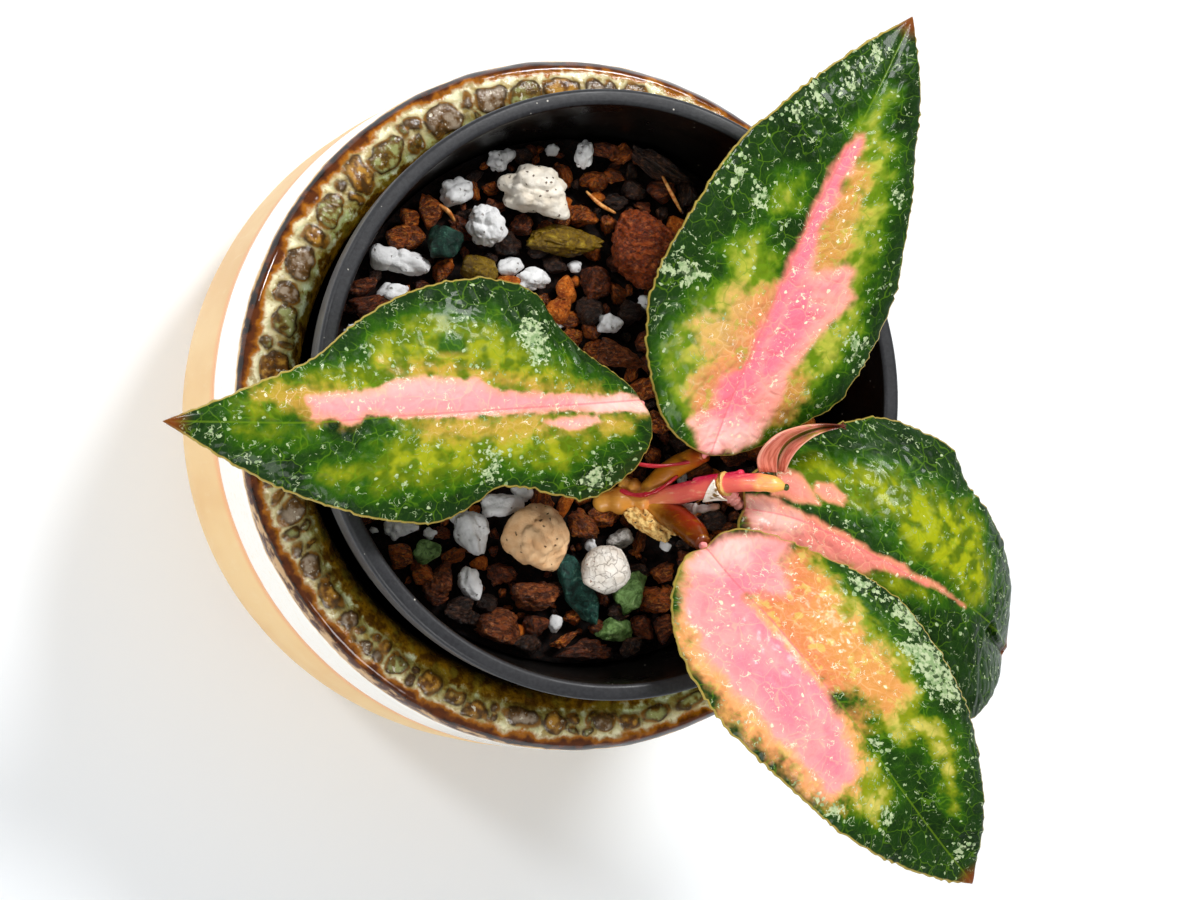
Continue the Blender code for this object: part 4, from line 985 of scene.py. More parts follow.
def cluster(level, draw, count, core, far, lump):
    """A knobbly lump: a many-faced core with smaller balls set round it."""
    points, faces = ball(level)
    seats = spread_directions(count, draw) * draw.uniform(*far, count)[:, None]
    sizes = draw.uniform(*lump, count)
    along = points @ seats.T
    inner = sizes**2 - (seats**2).sum(axis=1) + along**2
    reach = np.where(inner > 0, along + np.sqrt(np.maximum(inner, 0)), 0.0)
    facets = np.maximum(points @ spread_directions(14, draw).T, 0.0) / (core * draw.uniform(0.85, 1.1, 14))
    middle = (facets**7).sum(axis=1) ** (-1 / 7)
    reach = np.concatenate((np.maximum(reach, 1e-3), middle[:, None]), axis=1)
    radius = (reach**20).sum(axis=1) ** (1 / 20)
    return points * radius[:, None], faces



def grain_shape(name, kind, index):
    """The grain's shape in a box from -1 to 1."""
    look, level = GRAIN_LOOKS.get(name, (KIND_LOOKS[kind], 4))
    draw = np.random.default_rng(200 + index)
    drift = draw.uniform(0, 50, 3)
    if look == "popcorn":
        big = level == 5
        shape, faces = cluster(level, draw, 40 if big else 14, 0.76, (0.60, 0.70), (0.19, 0.32))
        fine, _, _ = nearest(shape * (3.0 if big else 2.2) + drift, index + 5)
        push = 0.08 * (0.5 - fine) + 0.08 * wavy(shape * 5 + drift, index, 2)
        holes, _, _ = nearest(shape * 4.2 + drift + 9, index + 9)
        push -= 0.09 * smoothstep(0.20, 0.08, holes)
    elif look == "fibrous":
        shape, faces = rock(level, draw, 16, 9, (0.86, 1.0))
        swirl = shape + 0.35 * np.stack([wavy(shape * 1.6 + drift + k, index + k) for k in range(3)], axis=-1)
        push = 0.09 * wavy(swirl * (4, 11, 7) + drift, index, 3) + 0.08 * wavy(shape * 12 + drift, index + 3, 2)
        crack = np.abs(wavy(shape * 1.8 + drift + 4, index + 6))
        push -= 0.07 * smoothstep(0.07, 0.0, crack)
    elif look == "knobbly":
        shape, faces = cluster(level, draw, 70, 0.93, (0.74, 0.82), (0.15, 0.23))
        push = 0.05 * wavy(shape * 5 + drift, index, 3)
        first, _, _ = nearest(shape * 3.0 + drift, index)
        push += 0.07 * (0.5 - first)
        holes, _, _ = nearest(shape * 2.2 + drift, index + 2)
        push -= 0.14 * smoothstep(0.14, 0.05, holes)
    elif look == "cracked":
        shape, faces = rock(level, draw, 40, 22, (0.96, 1.0))
        first, second, _ = nearest(shape * 2.2 + drift, index)
        push = -0.03 * smoothstep(0.08, 0.0, second - first) + 0.02 * wavy(shape * 7 + drift, index, 2)
    elif look == "ridged":
        shape, faces = rock(level, draw, 14, 9, (0.86, 1.0))
        ridge = 1 - np.abs(wavy(shape * (1.3, 3.4, 3.4) + drift, index, 2)) * 2
        push = 0.12 * ridge + 0.06 * wavy(shape * 7 + drift, index, 2)
    elif look == "folded":
        shape, faces = rock(level, draw, 11, 14, (0.72, 1.0))
        fold = wavy(shape * (1.2, 2.6, 2.6) + drift, index, 2)
        push = 0.14 * np.sign(fold) * np.abs(fold) ** 0.6 + 0.05 * wavy(shape * 7 + drift, index, 2)
    else:
        shape, faces = rock(level, draw, 13, 10, (0.8, 1.0))
        swirl = shape + 0.3 * np.stack([wavy(shape * 1.6 + drift + k, index + k) for k in range(3)], axis=-1)
        push = 0.16 * wavy(swirl * (2.2, 8, 6) + drift, index, 3) + 0.09 * wavy(shape * 10 + drift, index + 3, 2)
    shape = shape + outwards(shape) * push[:, None]
    low, high = shape.min(axis=0), shape.max(axis=0)
    return (shape - (low + high) / 2) / ((high - low) / 2), faces


def loose_grains():
    looks = {
        "perlite": perlite_finish("perlite_white", (246, 246, 246), (228, 228, 228)),
        "perlite_1": perlite_finish("perlite_cream", (252, 244, 230), (240, 228, 208), 0.85),
        "white_ball": cracked_finish(),
        "clay": bark_finish("clay_rust", (122, 42, 8), (176, 76, 22), (214, 120, 60)),
        "pumice": perlite_finish("pumice_beige", (246, 204, 156), (232, 180, 128), 0.9),
        "olive": stone_finish("stone_olive", (84, 60, 0), (136, 106, 6), (190, 164, 48)),
        "teal": stone_finish("stone_teal", (12, 42, 36), (42, 94, 82), (124, 172, 152)),
        "teal_stone_1": stone_finish("stone_dark_teal", (4, 22, 18), (18, 60, 48), (84, 134, 112)),
        "green": stone_finish("stone_green", (60, 92, 30), (126, 164, 92), (190, 220, 152)),
        "grey": stone_finish("stone_grey", (150, 146, 140), (200, 196, 190), (228, 226, 222)),
        "bark": bark_finish("bark_brown", (84, 34, 10), (140, 68, 26), (206, 128, 70)),
    }
    for index, (name, kind, centre, size, turn) in enumerate(GRAINS):
        shape, faces = grain_shape(name, kind, index)
        verts = placed(shape, centre, size, turn) + POT_PLACE
        look = looks.get(name) or looks[kind]
        add_piece(name + "_look", verts, faces, look, [name],
                  {"tone": np.full(len(verts), 0.6), "grain": shape * np.array(size) / 2 + 11 * index})


def mix_bed_finish():
    f = Finish("mix_fines", roughness=0.8, specular=0.25)
    grain = f.noise(1.2, 6, 0.7)
    # The fines between chips are nearly black: partly the dark mix's own colour, partly painted shade in the gaps
    # between chips and grains.
    base = f.mix(f.step(grain, 0.42, 0.7), srgb((8, 4, 3)), srgb((44, 20, 10)))
    base = f.mix(f.step(f.noise(2.4, 3), 0.66, 0.74), base, srgb((96, 46, 18)))
    f.bump(grain, 0.8, 1.0)
    return f.colour(base)


def mix_bed():
    foot = POT_BASE + POT_WALL + 0.35
    top_radius = pot_inner_radius(MIX_TOP) - 0.5
    rings = [(r, MIX_TOP) for r in np.linspace(0, top_radius, 60)]
    sides = [(top_radius + t * (pot_inner_radius(foot) - 0.5 - top_radius), MIX_TOP + t * (foot - MIX_TOP))
             for t in np.linspace(0, 1, 24)[1:]]
    verts, faces = turned(rings + sides + [(0.0, foot)], 180)
    rough = wavy(verts * 0.5, 31, 3) * 1.3 + wavy(verts * 1.6, 33, 2) * 0.6 - 0.9
    verts[:, 2] += np.where(verts[:, 2] > MIX_TOP - 0.01, rough, 0)
    add_piece("mix_bed", verts + POT_PLACE, faces, mix_bed_finish(), ["potting_mix"])


# Chips placed as in the photo: kind, centre (x, y) and size (length, width) in mm, turn in degrees
CHIPS = (
    ("perlite", -13.9, 41.6, 3.2, 2.6, 0), ("perlite", -5.8, 42.0, 2.6, 2.2, 0),
    ("bark", 3.5, 42.2, 5.4, 3.8, -40), ("rust", 6.5, 42.2, 4.2, 3.6, 60),
    ("dark", 13.4, 40.1, 12.5, 4.2, -30), ("rust", 1.9, 37.1, 5.4, 3.8, 20),
    ("rust", 5.1, 37.7, 4.2, 3.0, -30), ("clay", 2.6, 34.5, 2.8, 2.0, 0), ("dark", 5.6, 33.8, 4.2, 3.2, 10),
    ("dark", 9.0, 35.8, 5.0, 3.5, -20), ("bark", 13.5, 35.7, 5.4, 4.2, 0),
    ("rust", -0.5, 31.2, 5.6, 4.6, 20), ("rust", -3.6, 30.0, 4.2, 3.4, 30),
    ("bark", -11.2, 29.1, 5.2, 4.0, 20), ("dark", -13.7, 25.9, 5.4, 4.2, 0),
    ("dark", -5.1, 23.0, 4.6, 3.6, 0), ("perlite", -1.5, 22.5, 2.6, 2.2, 0),
    ("perlite", -13.0, 22.1, 5.2, 3.6, 10), ("perlite", -8.7, 20.4, 5.4, 3.8, -15),
    ("clay", -3.3, 18.5, 4.2, 4.8, 0), ("clay", -13.1, 19.4, 4.6, 3.0, -20),
    ("clay", -4.7, 15.1, 4.4, 5.2, 0), ("rust", -2.6, 13.7, 4.2, 3.4, 0), ("rust", 1.5, 11.6, 3.8, 3.2, 0),
    ("rust", -1.9, 10.5, 3.6, 3.2, 0), ("bark", 2.4, 19.6, 5.8, 6.0, 0), ("dark", 0.6, 15.1, 5.2, 5.4, 0),
    ("perlite", 2.6, 15.0, 2.0, 1.6, 0), ("perlite", -4.3, 12.6, 2.0, 1.6, 0),
    ("dark", 8.5, 14.8, 5.4, 4.6, 0), ("rust", 2.2, 8.4, 5.0, 3.8, -10), ("rust", 10.8, 2.1, 5.2, 4.2, 30),
    ("rust", 13.0, -3.6, 5.2, 4.4, 0), ("rust", -27.5, 31.4, 4.4, 6.4, 20),
    ("rust", -31.9, 30.2, 3.4, 3.8, 0), ("bark", -21.3, 28.0, 6.0, 3.8, -30),
    ("rust", -24.7, 21.0, 3.6, 5.0, -15), ("bark", -36.6, 14.7, 8.4, 4.2, 10),
    ("bark", -38.5, 17.7, 4.8, 3.8, 0), ("perlite", -35.7, 23.3, 5.0, 4.6, 0),
    ("rust", -32.6, 26.2, 4.8, 4.4, 0), ("rust", -29.7, 26.3, 4.0, 4.8, 0),
    ("dark", -23.4, 25.1, 4.6, 3.4, 0), ("dark", -8.0, 25.0, 4.2, 3.2, 0),
    ("bark", -16.1, 32.0, 4.4, 3.2, 20), ("dark", -18.5, 29.9, 4.8, 3.6, 0),
    ("bark", 9.7, 29.0, 4.4, 3.4, 0), ("rust", -6.6, 28.7, 3.6, 3.0, 0), ("bark", 5.8, 23.4, 4.2, 3.6, 0),
    ("perlite", -26.8, -22.8, 2.6, 2.4, 0), ("perlite", -21.7, -19.8, 3.6, 3.6, 0),
    ("perlite", -14.5, -17.9, 8.0, 4.6, 15), ("perlite", -10.8, -15.9, 4.4, 3.0, -20),
    ("clay", -3.4, -17.8, 5.2, 2.4, 60), ("rust", -0.3, -21.2, 6.2, 5.0, -30),
    ("rust", 3.6, -19.6, 6.2, 4.2, 20), ("grey", 1.3, -24.5, 2.6, 2.4, 0),
    ("rust", 10.2, -23.8, 5.4, 2.4, 70), ("perlite", 14.7, -24.6, 2.4, 2.0, 0),
    ("rust", -28.2, -29.2, 4.0, 4.4, 0), ("rust", -22.7, -26.4, 4.4, 3.2, 40),
    ("clay", -18.1, -27.6, 3.4, 2.6, 0), ("bark", -14.8, -29.5, 6.0, 4.6, -20),
    ("dark", -22.7, -36.0, 5.8, 4.8, 0), ("dark", -16.9, -34.2, 4.4, 3.4, 0),
    ("bark", -8.3, -38.2, 4.8, 4.2, 0), ("perlite", -5.2, -37.6, 2.8, 3.4, 0),
    ("rust", -1.7, -36.6, 3.8, 2.8, 30), ("bark", -0.4, -42.6, 10.5, 4.0, 6),
    ("rust", -3.4, -40.6, 5.6, 2.0, 28), ("rust", 12.4, -33.9, 5.4, 5.0, 0),
    ("bark", 10.2, -38.5, 4.6, 4.6, 0), ("bark", 14.4, -38.8, 4.2, 5.4, 10),
    ("rust", 14.0, -29.2, 5.4, 3.6, 20), ("dark", 6.1, -35.8, 4.4, 3.6, 0),
    ("dark", -11.1, -43.2, 5.0, 3.4, 20), ("bark", 2.6, -38.4, 4.0, 3.0, -20),
    ("dark", 8.6, -43.0, 4.6, 3.4, 10), ("rust", -32.3, -26.4, 4.4, 4.8, 0),
    ("bark", -25.8, -33.3, 4.0, 3.2, 0), ("dark", -4.5, -32.1, 4.0, 3.0, 0),
    ("rust", -20.1, -24.6, 3.4, 3.0, 0), ("bark", -6.6, -27.0, 4.4, 3.4, 0),
    ("dark", 9.7, -29.2, 4.4, 3.4, 0), ("bark", 18.7, -27.0, 4.6, 3.6, 0),
    ("rust", 20.6, -11.7, 5.2, 3.6, 30), ("bark", 27.0, -9.0, 5.0, 4.0, 0),
    ("dark", 23.3, -20.2, 4.6, 3.6, 0), ("rust", 12.4, -9.2, 4.2, 3.4, -60),
    ("rust", 7.0, -12.7, 4.0, 3.2, 0), ("bark", 24.2, -6.5, 5.0, 3.8, 20),
    ("rust", 42.0, 0.5, 4.4, 3.2, 30), ("clay", 40.5, -3.5, 3.6, 2.8, 0),
)
CHIP_KINDS = ("bark", "rust", "clay", "dark", "perlite")


def chip_shape(kind, level, draw):
    drift = draw.uniform(0, 60, 3)
    if kind == "clay":
        shape, faces = rock(level, draw, 12, 6, (0.8, 1.0))
        push = 0.14 * wavy(shape * 3 + drift, 3, 3)
    elif kind in ("perlite", "grey"):
        shape, faces = cluster(level, draw, 10, 0.76, (0.52, 0.66), (0.24, 0.40))
        push = 0.06 * wavy(shape * 4 + drift, 3, 2)
    else:
        shape, faces = rock(level, draw, 8, 16, (0.60, 1.0))
        ridge = 1 - 2 * np.abs(wavy(shape * (1.1, 3.6, 3.4) + drift, 5, 2))
        push = 0.20 * ridge + 0.26 * wavy(shape * (1.8, 5, 4.5) + drift, 8, 3)
    shape = shape + outwards(shape) * push[:, None]
    return shape / np.abs(shape).max(axis=0), faces


def covered(x, y, slack):
    for _, _, (gx, gy, _), (width, depth, _), _ in GRAINS:
        if math.hypot(x - gx, y - gy) < (width + depth) / 4 * 0.95 + slack:
            return True
    return False


def mix_chips():
    draw = np.random.default_rng(77)
    groups = {kind: [[], [], [], [], 0] for kind in CHIP_KINDS}
    taken = [(x, y, (width + depth) / 4) for _, _, (x, y, _), (width, depth, _), _ in GRAINS]
    taken += [(x, y, (length + width) / 4) for _, x, y, length, width, _ in CHIPS]

    def add_chip(kind, level, centre, size, turn, tilt):
        shape, faces = chip_shape(kind, level, draw)
        c, s = math.cos(tilt), math.sin(tilt)
        own = shape * np.array(size) / 2
        verts = placed(own @ np.array(((c, 0, s), (0, 1, 0), (-s, 0, c))), centre, (2, 2, 2), turn)
        store = groups["perlite" if kind == "grey" else kind]
        store[0].append(verts)
        store[1].append(faces + store[4])
        store[2].append(np.full(len(verts), draw.uniform()))
        store[3].append(own + draw.uniform(0, 90, 3))
        store[4] += len(verts)

    reach = pot_inner_radius(MIX_TOP) - 0.8
    for kind, x, y, length, width, turn in CHIPS:
        pull = min(1.0, (reach - width / 2) / max(math.hypot(x, y), 1.0))
        x, y = x * pull, y * pull
        height = min(length, width) * draw.uniform(0.8, 1.0)
        wall = smoothstep(34, 45, math.hypot(x, y))
        add_chip(kind, 4 if length > 5.5 else 3, (x, y, MIX_TOP + 0.7 + height * 0.3 + wall * 0.8),
                 (length, width, height), turn, draw.uniform(-0.12, 0.12))
    for size, tries in ((5.0, 160), (3.8, 500), (2.8, 900), (2.0, 900), (1.4, 700)):
        for _ in range(tries):
            far, turn = (reach - size * 0.5) * math.sqrt(draw.uniform()), draw.uniform(0, math.tau)
            x, y = far * math.cos(turn), far * math.sin(turn)
            if any(math.hypot(x - a, y - b) < (r + size / 2) * 0.80 for a, b, r in taken):
                continue
            taken.append((x, y, size / 2))
            kind = str(draw.choice(CHIP_KINDS, p=(0.34, 0.30, 0.08, 0.24, 0.04)))
            dims = (size * draw.uniform(1.0, 1.35), size * draw.uniform(0.75, 1.0), size * draw.uniform(0.6, 0.85))
            lift = draw.uniform(-0.2, 0.5) + size * 0.12 + 0.8 * smoothstep(34, 45, far)
            add_chip(kind, 3 if size > 2.5 else 2, (x, y, MIX_TOP + lift), dims, math.degrees(draw.uniform(0, 6.3)),
                     draw.uniform(-0.4, 0.4))
    looks = {
        "bark": bark_finish("mix_bark", (66, 24, 6), (122, 54, 20), (196, 112, 56)),
        "rust": bark_finish("mix_rust", (110, 44, 4), (176, 82, 14), (236, 150, 60)),
        "dark": bark_finish("mix_dark", (20, 9, 5), (58, 32, 20), (134, 90, 62)),
        "clay": clay_finish(),
        "perlite": perlite_finish("mix_perlite", (240, 240, 240), (222, 222, 222)),
    }
    for kind, (verts, faces, tones, grains, _) in groups.items():
        if verts:
            add_piece("mix_" + kind + "_chips", np.concatenate(verts) + POT_PLACE, np.concatenate(faces), looks[kind],
                      fields={"tone": np.concatenate(tones), "grain": np.concatenate(grains)})


# ---------------------------------------------------------------- stems
CALLUSES = (((16.3, -9.4, 91.3), 1.9), ((3.1, -1.8, 96.9), 1.6), ((14.6, -24.8, 94.9), 2.1))

def tube(path, radii, sides=20):
    """Points and faces of a closed tube, the share of its length at each point and how far it faces +Y."""
    path = np.asarray(path, float)
    count = len(path)
    ahead = np.gradient(path, axis=0)
    ahead /= np.linalg.norm(ahead, axis=1)[:, None]
    side = np.cross(ahead[0], (0.0, 0.0, 1.0))
    frames = []
    for step in ahead:
        side = side - step * (side @ step)
        side /= np.linalg.norm(side)
        frames.append((side, np.cross(step, side)))
    turn = np.arange(sides) * math.tau / sides
    out = np.concatenate([np.cos(turn)[:, None] * a + np.sin(turn)[:, None] * b for a, b in frames])
    reach = np.concatenate([np.broadcast_to(r, sides) for r in radii])
    verts = np.repeat(path, sides, axis=0) + out * reach[:, None]
    index = np.arange(count * sides).reshape(count, sides)
    right = np.roll(index, -1, axis=1)
    faces = np.stack([index[:-1], right[:-1], right[1:], index[1:]], axis=-1).reshape(-1, 4).tolist()
    verts = np.concatenate((verts, path[:1], path[-1:]))
    faces += [(count * sides, int(b), int(a)) for a, b in zip(index[0], right[0])]
    faces += [(count * sides + 1, int(a), int(b)) for a, b in zip(index[-1], right[-1])]
    share = np.concatenate((np.repeat(np.linspace(0, 1, count), sides), (0.0, 1.0)))
    return verts, faces, share, np.concatenate((out[:, 1], (0.0, 0.0)))


def stem_finish(name, start, middle, end, upper, streak, gloss=0.35):
    f = Finish(name, roughness=gloss, coat=0.2, coat_roughness=0.15)
    share, north = f.field("share"), f.field("north")
    wander = f.maths("ADD", share, f.maths("MULTIPLY", f.maths("SUBTRACT", f.noise(0.5, 3), 0.5), 0.3))
    lines = f.noise(0.9, 4, 0.6, vector=f.scaled(f.swirl(f.place, 0.2, 0.6), (0.35, 1.8, 0.6)))
    across = f.maths("ADD", north, f.maths("MULTIPLY", f.maths("SUBTRACT", lines, 0.5), 1.6))
    base = f.mix(f.step(wander, 0.04, 0.34), srgb(start), srgb(middle))
    base = f.mix(f.step(wander, 0.74, 0.96), base, srgb(end))
    edge = f.both(f.step(across, 0.0, 0.9), f.both(f.step(share, 0.12, 0.3), f.step(share, 0.9, 0.78)))
    base = f.mix(f.both(edge, 0.9), base, srgb(upper))
    base = f.mix(f.both(f.step(lines, 0.54, 0.72), 0.6), base, srgb(streak))
    f.bump(lines, 0.2, 0.6)
    return f.colour(base)


def stem_radii(name, share, start, end):
    """Radii along a stem: a taper with the swellings of the real one."""
    plain = start + (end - start) * share
    if name == "main_stem":
        ring = 0.30 * np.exp(-((share - 0.60) / 0.025) ** 2) + 0.12 * np.exp(-((share - 0.84) / 0.02) ** 2)
        tip = np.sqrt(np.clip((1.0 - share) / 0.07, 0.004, 1))
        return (plain + ring) * tip
    if name in ("lower_petiole", "top_petiole"):
        return plain * (1 + 0.16 * np.sin(share * math.pi)) * (1 - 0.2 * smoothstep(0.8, 1.0, share))
    if name in ("rhizome", "knob"):
        start_cap = np.sqrt(np.clip(share / 0.22, 0.01, 1))
        return plain * 1.1 * (1 + 0.16 * np.sin(share * 15 + 1.0)) * (0.25 + 0.75 * start_cap)
    if name == "ridge":
        return plain * (1 + 0.5 * np.exp(-((share - 0.95) / 0.05) ** 2))
    return plain * (1 + 0.14 * np.sin(share * 23) + 0.35 * np.exp(-((share - 0.42) / 0.03) ** 2))


def stems():
    looks = {
        "rhizome": stem_finish("stem_rhizome", (222, 158, 60), (214, 144, 52), (222, 142, 66), (190, 108, 26),
                               (242, 194, 104), 0.45),
        "main_stem": stem_finish("stem_pink", (226, 138, 84), (240, 108, 94), (254, 190, 92), (212, 24, 78),
                                 (254, 186, 146)),
        "lower_petiole": stem_finish("stem_olive", (214, 146, 50), (122, 62, 2), (112, 44, 6), (136, 34, 14),
                                     (160, 104, 8), 0.22),
        "top_petiole": stem_finish("stem_amber", (214, 152, 50), (184, 110, 16), (144, 58, 8), (196, 130, 30),
                                   (220, 152, 48), 0.28),
        "left_petiole": stem_finish("stem_crimson", (196, 34, 52), (168, 10, 30), (186, 30, 44), (214, 60, 74),
                                    (226, 90, 96), 0.25),
        "root": stem_finish("stem_root", (240, 196, 176), (246, 226, 216), (228, 176, 150), (250, 236, 228),
                            (252, 240, 232), 0.5),
        "right_petiole": stem_finish("stem_rose", (236, 150, 140), (240, 160, 150), (246, 180, 170), (230, 90, 110),
                                     (250, 206, 190)),
        "ridge": stem_finish("stem_magenta", (214, 52, 92), (206, 24, 76), (220, 44, 80), (188, 10, 60),
                             (240, 120, 130)),
    }
    looks["knob"] = looks["rhizome"]
    looks["red_runner"] = looks["left_petiole"]
    for name, (points, start, end) in STEMS.items():
        share = np.linspace(0, 1, 80)
        path = smooth_path(points, share)
        radii = stem_radii(name, share, start, end)
        turn = np.arange(20) * math.tau / 20
        rings = [r * (1 + 0.05 * wavy(np.stack([np.cos(turn) * 1.5, np.sin(turn) * 1.5, np.full(20, s * 9)], axis=-1),
                                      3, 2)) for r, s in zip(radii, share)]
        verts, faces, along, north = tube(path, rings)
        nodes = ["stem"] if name == "main_stem" else []
        add_piece("stem_" + name, verts + POT_PLACE, faces, looks[name], nodes,
                  {"share": along, "north": north})
    draw = np.random.default_rng(41)
    shape, faces = rock(5, draw, 12, 9, (0.78, 1.0))
    first, _, _ = nearest(shape * (2.2, 3.0, 3.0) + 3, 2)
    shape = shape + outwards(shape) * (0.30 * (0.55 - first) + 0.16 * wavy(shape * (4, 8, 8), 5, 3))[:, None]
    verts = placed(shape / np.abs(shape).max(axis=0), STUB_LOOK["centre"], STUB_LOOK["size"], STUB["turn"])
    f = Finish("stub_dry", roughness=0.7)
    crumbs = f.noise(1.1, 5, 0.65)
    base = f.mix(f.step(crumbs, 0.36, 0.6), srgb((190, 128, 44)), srgb((250, 212, 132)))
    base = f.mix(f.step(f.noise(1.5, 2), 0.64, 0.7), base, srgb((64, 34, 12)))
    f.bump(crumbs, 0.4, 1.0)
    add_piece("stem_stub", verts + POT_PLACE, faces, f.colour(base))
    bud = Finish("bud_green", roughness=0.35)
    shape, faces = ball(3)
    verts = placed(shape, (27.3, -15.2, 99.7), (1.1, 1.2, 1.1), 0)
    green = bud.mix(bud.step(bud.noise(1.5, 2), 0.4, 0.6), srgb((44, 62, 14)), srgb((96, 104, 30)))
    add_piece("stem_bud", verts + POT_PLACE, faces, bud.colour(green))
    collar()
    pink = stem_finish("stem_callus", (244, 140, 140), (250, 150, 150), (252, 176, 170), (232, 76, 100),
                       (254, 206, 200))
    verts, faces, count = [], [], 0
    for centre, size in CALLUSES:
        shape, some = cluster(3, draw, 6, 0.7, (0.4, 0.6), (0.3, 0.45))
        verts.append(shape * size / 2 + centre)
        faces.append(some + count)
        count += len(shape)
    verts = np.concatenate(verts)
    add_piece("stem_calluses", verts + POT_PLACE, np.concatenate(faces), pink,
              fields={"share": np.full(len(verts), 0.5), "north": np.zeros(len(verts))})


def collar():
    """The yellow-green rim of the node that the bract hangs from."""
    share = np.linspace(0, 1, 24)
    path = smooth_path(STEMS["main_stem"][0], 0.585 + 0.055 * share)
    ring = np.arange(28) * math.tau / 28
    radii = []
    for s in share:
        frill = 0.55 * wavy(np.stack([np.cos(ring) * 2.4, np.sin(ring) * 2.4, np.full(28, s * 5)], axis=-1), 7, 2)
        radii.append(1.72 + 0.42 * s + frill * s - 0.45 * smoothstep(0.9, 1.0, s))
    verts, faces, along, north = tube(path, radii, 28)
    look = stem_finish("stem_collar", (222, 140, 84), (190, 134, 50), (214, 176, 100), (132, 92, 22), (236, 208, 140))
    add_piece("stem_collar", verts + POT_PLACE, faces, look, fields={"share": along, "north": north})



STEM_SHEATH = (0.44, 0.62)

def bract():
    f = Finish("bract_papery", roughness=0.55, specular=0.3)
    streak = f.noise(1.2, 4, vector=f.scaled(f.place, (0.6, 1.8, 0.6)))
    base = f.mix(f.step(streak, 0.50, 0.70), srgb((254, 248, 236)), srgb((210, 188, 142)))
    # Brown streaks where the edge field is high, across the middle of the sheath and towards its top end: painted
    # shadow on the papery sheath.
    base = f.mix(f.both(f.step(f.field("edge"), 0.30, 0.70), f.step(streak, 0.4, 0.55)), base, srgb((130, 98, 46)))
    f.bump(streak, 0.12)
    look = f.colour(base)
    rows, cells = 40, 36
    spine = smooth_path(STEMS["main_stem"][0], np.linspace(*STEM_SHEATH, rows))
    axis = spine[-1] - spine[0]
    across = np.cross(axis, (0, 0, 1.0))
    across /= np.linalg.norm(across)
    up = np.cross(across, axis)
    up /= np.linalg.norm(up)
    top, under, edge = [], [], []
    for share, spot in zip(np.linspace(0, 1, rows), spine):
        span = math.radians(6 + 104 * share**0.9)
        for place in np.linspace(0, 1, cells):
            angle = math.radians(82) + span * (place - 1)
            out = up * math.cos(angle) + across * math.sin(angle)
            wrinkle = 0.05 * math.sin(place * 23 + share * 3) + 0.2 * share * (abs(place - 0.5) * 2) ** 3
            reach = 2.12 + 0.35 * share + wrinkle
            top.append(spot + out * (reach + 0.12))
            under.append(spot + out * (reach - 0.12))
            edge.append((1 - abs(place - 0.5) * 2) * share)
    verts = np.array(top + under)
    faces = []
    half = rows * cells
    for i in range(rows - 1):
        for j in range(cells - 1):
            a, b, c, d = i * cells + j, i * cells + j + 1, (i + 1) * cells + j + 1, (i + 1) * cells + j
            faces.append((a, b, c, d))
            faces.append((half + d, half + c, half + b, half + a))
    border = list(range(cells)) + [i * cells + cells - 1 for i in range(1, rows)]
    border += [(rows - 1) * cells + j for j in range(cells - 2, -1, -1)] + [i * cells for i in range(rows - 2, 0, -1)]
    for a, b in zip(border, border[1:] + border[:1]):
        faces.append((b, a, half + a, half + b))
    add_piece("sheath_look", verts + POT_PLACE, faces, look, ["sheath"], {"edge": edge + edge})


# ---------------------------------------------------------------- leaves
def leaf_points(shape, shares, places, bite):
    """A leaf's middle surface, one row for each share of its length, with its widths. bite pushes the edge out."""
    ribs = smooth_path(shape["midrib"], shares)
    edges = [smooth_path([(x, y, 0.0) for x, y in edge], shares**EDGE_LEAD) for edge in shape["edges"]]
    side = (places >= 0).astype(int)
    t = np.abs(places)
    out = np.stack(edges, axis=1)[:, side, :2] - ribs[:, None, :2]
    width = np.linalg.norm(out, axis=-1)
    sway = np.sin(math.tau * shape["waves"] * shares[:, None] + shape["phase"] + SECOND_EDGE_PHASE * side)
    lift = width * (shape["rise"] * t - shape["arch"] * t * t)
    lift = lift + shape["wave"] * sway * t * t * np.minimum(width / FULL_WAVE_WIDTH, 1.0)
    grown = out * (1 + bite[:, side] * t**8 / np.maximum(width, 2.0))[..., None]
    plan = ribs[:, None, :2] + grown * t[:, None]
    height = ribs[:, None, 2] + lift
    return np.concatenate((plan, height[..., None]), axis=-1), width


def teeth(shape, shares, seed):
    """How far each edge stands out along the leaf, in mm: small, uneven, forward-pointing teeth."""
    found = []
    for side, edge in enumerate(shape["edges"]):
        path = smooth_path([(x, y, 0.0) for x, y in edge], shares**EDGE_LEAD)
        run = np.concatenate(([0.0], np.cumsum(np.linalg.norm(np.diff(path, axis=0), axis=1))))
        line = np.stack([run, np.zeros(len(run)), np.zeros(len(run))], axis=-1)
        saw = np.mod(run / 2.7 + 0.8 * wavy(line * 0.22, seed + side), 1.0)
        size = 0.5 + 0.5 * wavy(line * 0.35 + 5, seed + side + 4)
        found.append(0.42 * (saw**1.6 * np.minimum((1 - saw) / 0.18, 1.0)) * size + 0.12 * wavy(line * 1.1, seed + 8, 2))
    fade = np.minimum(shares / 0.04, (1 - shares) / 0.05).clip(0, 1)
    return np.stack(found, axis=-1) * fade[:, None]


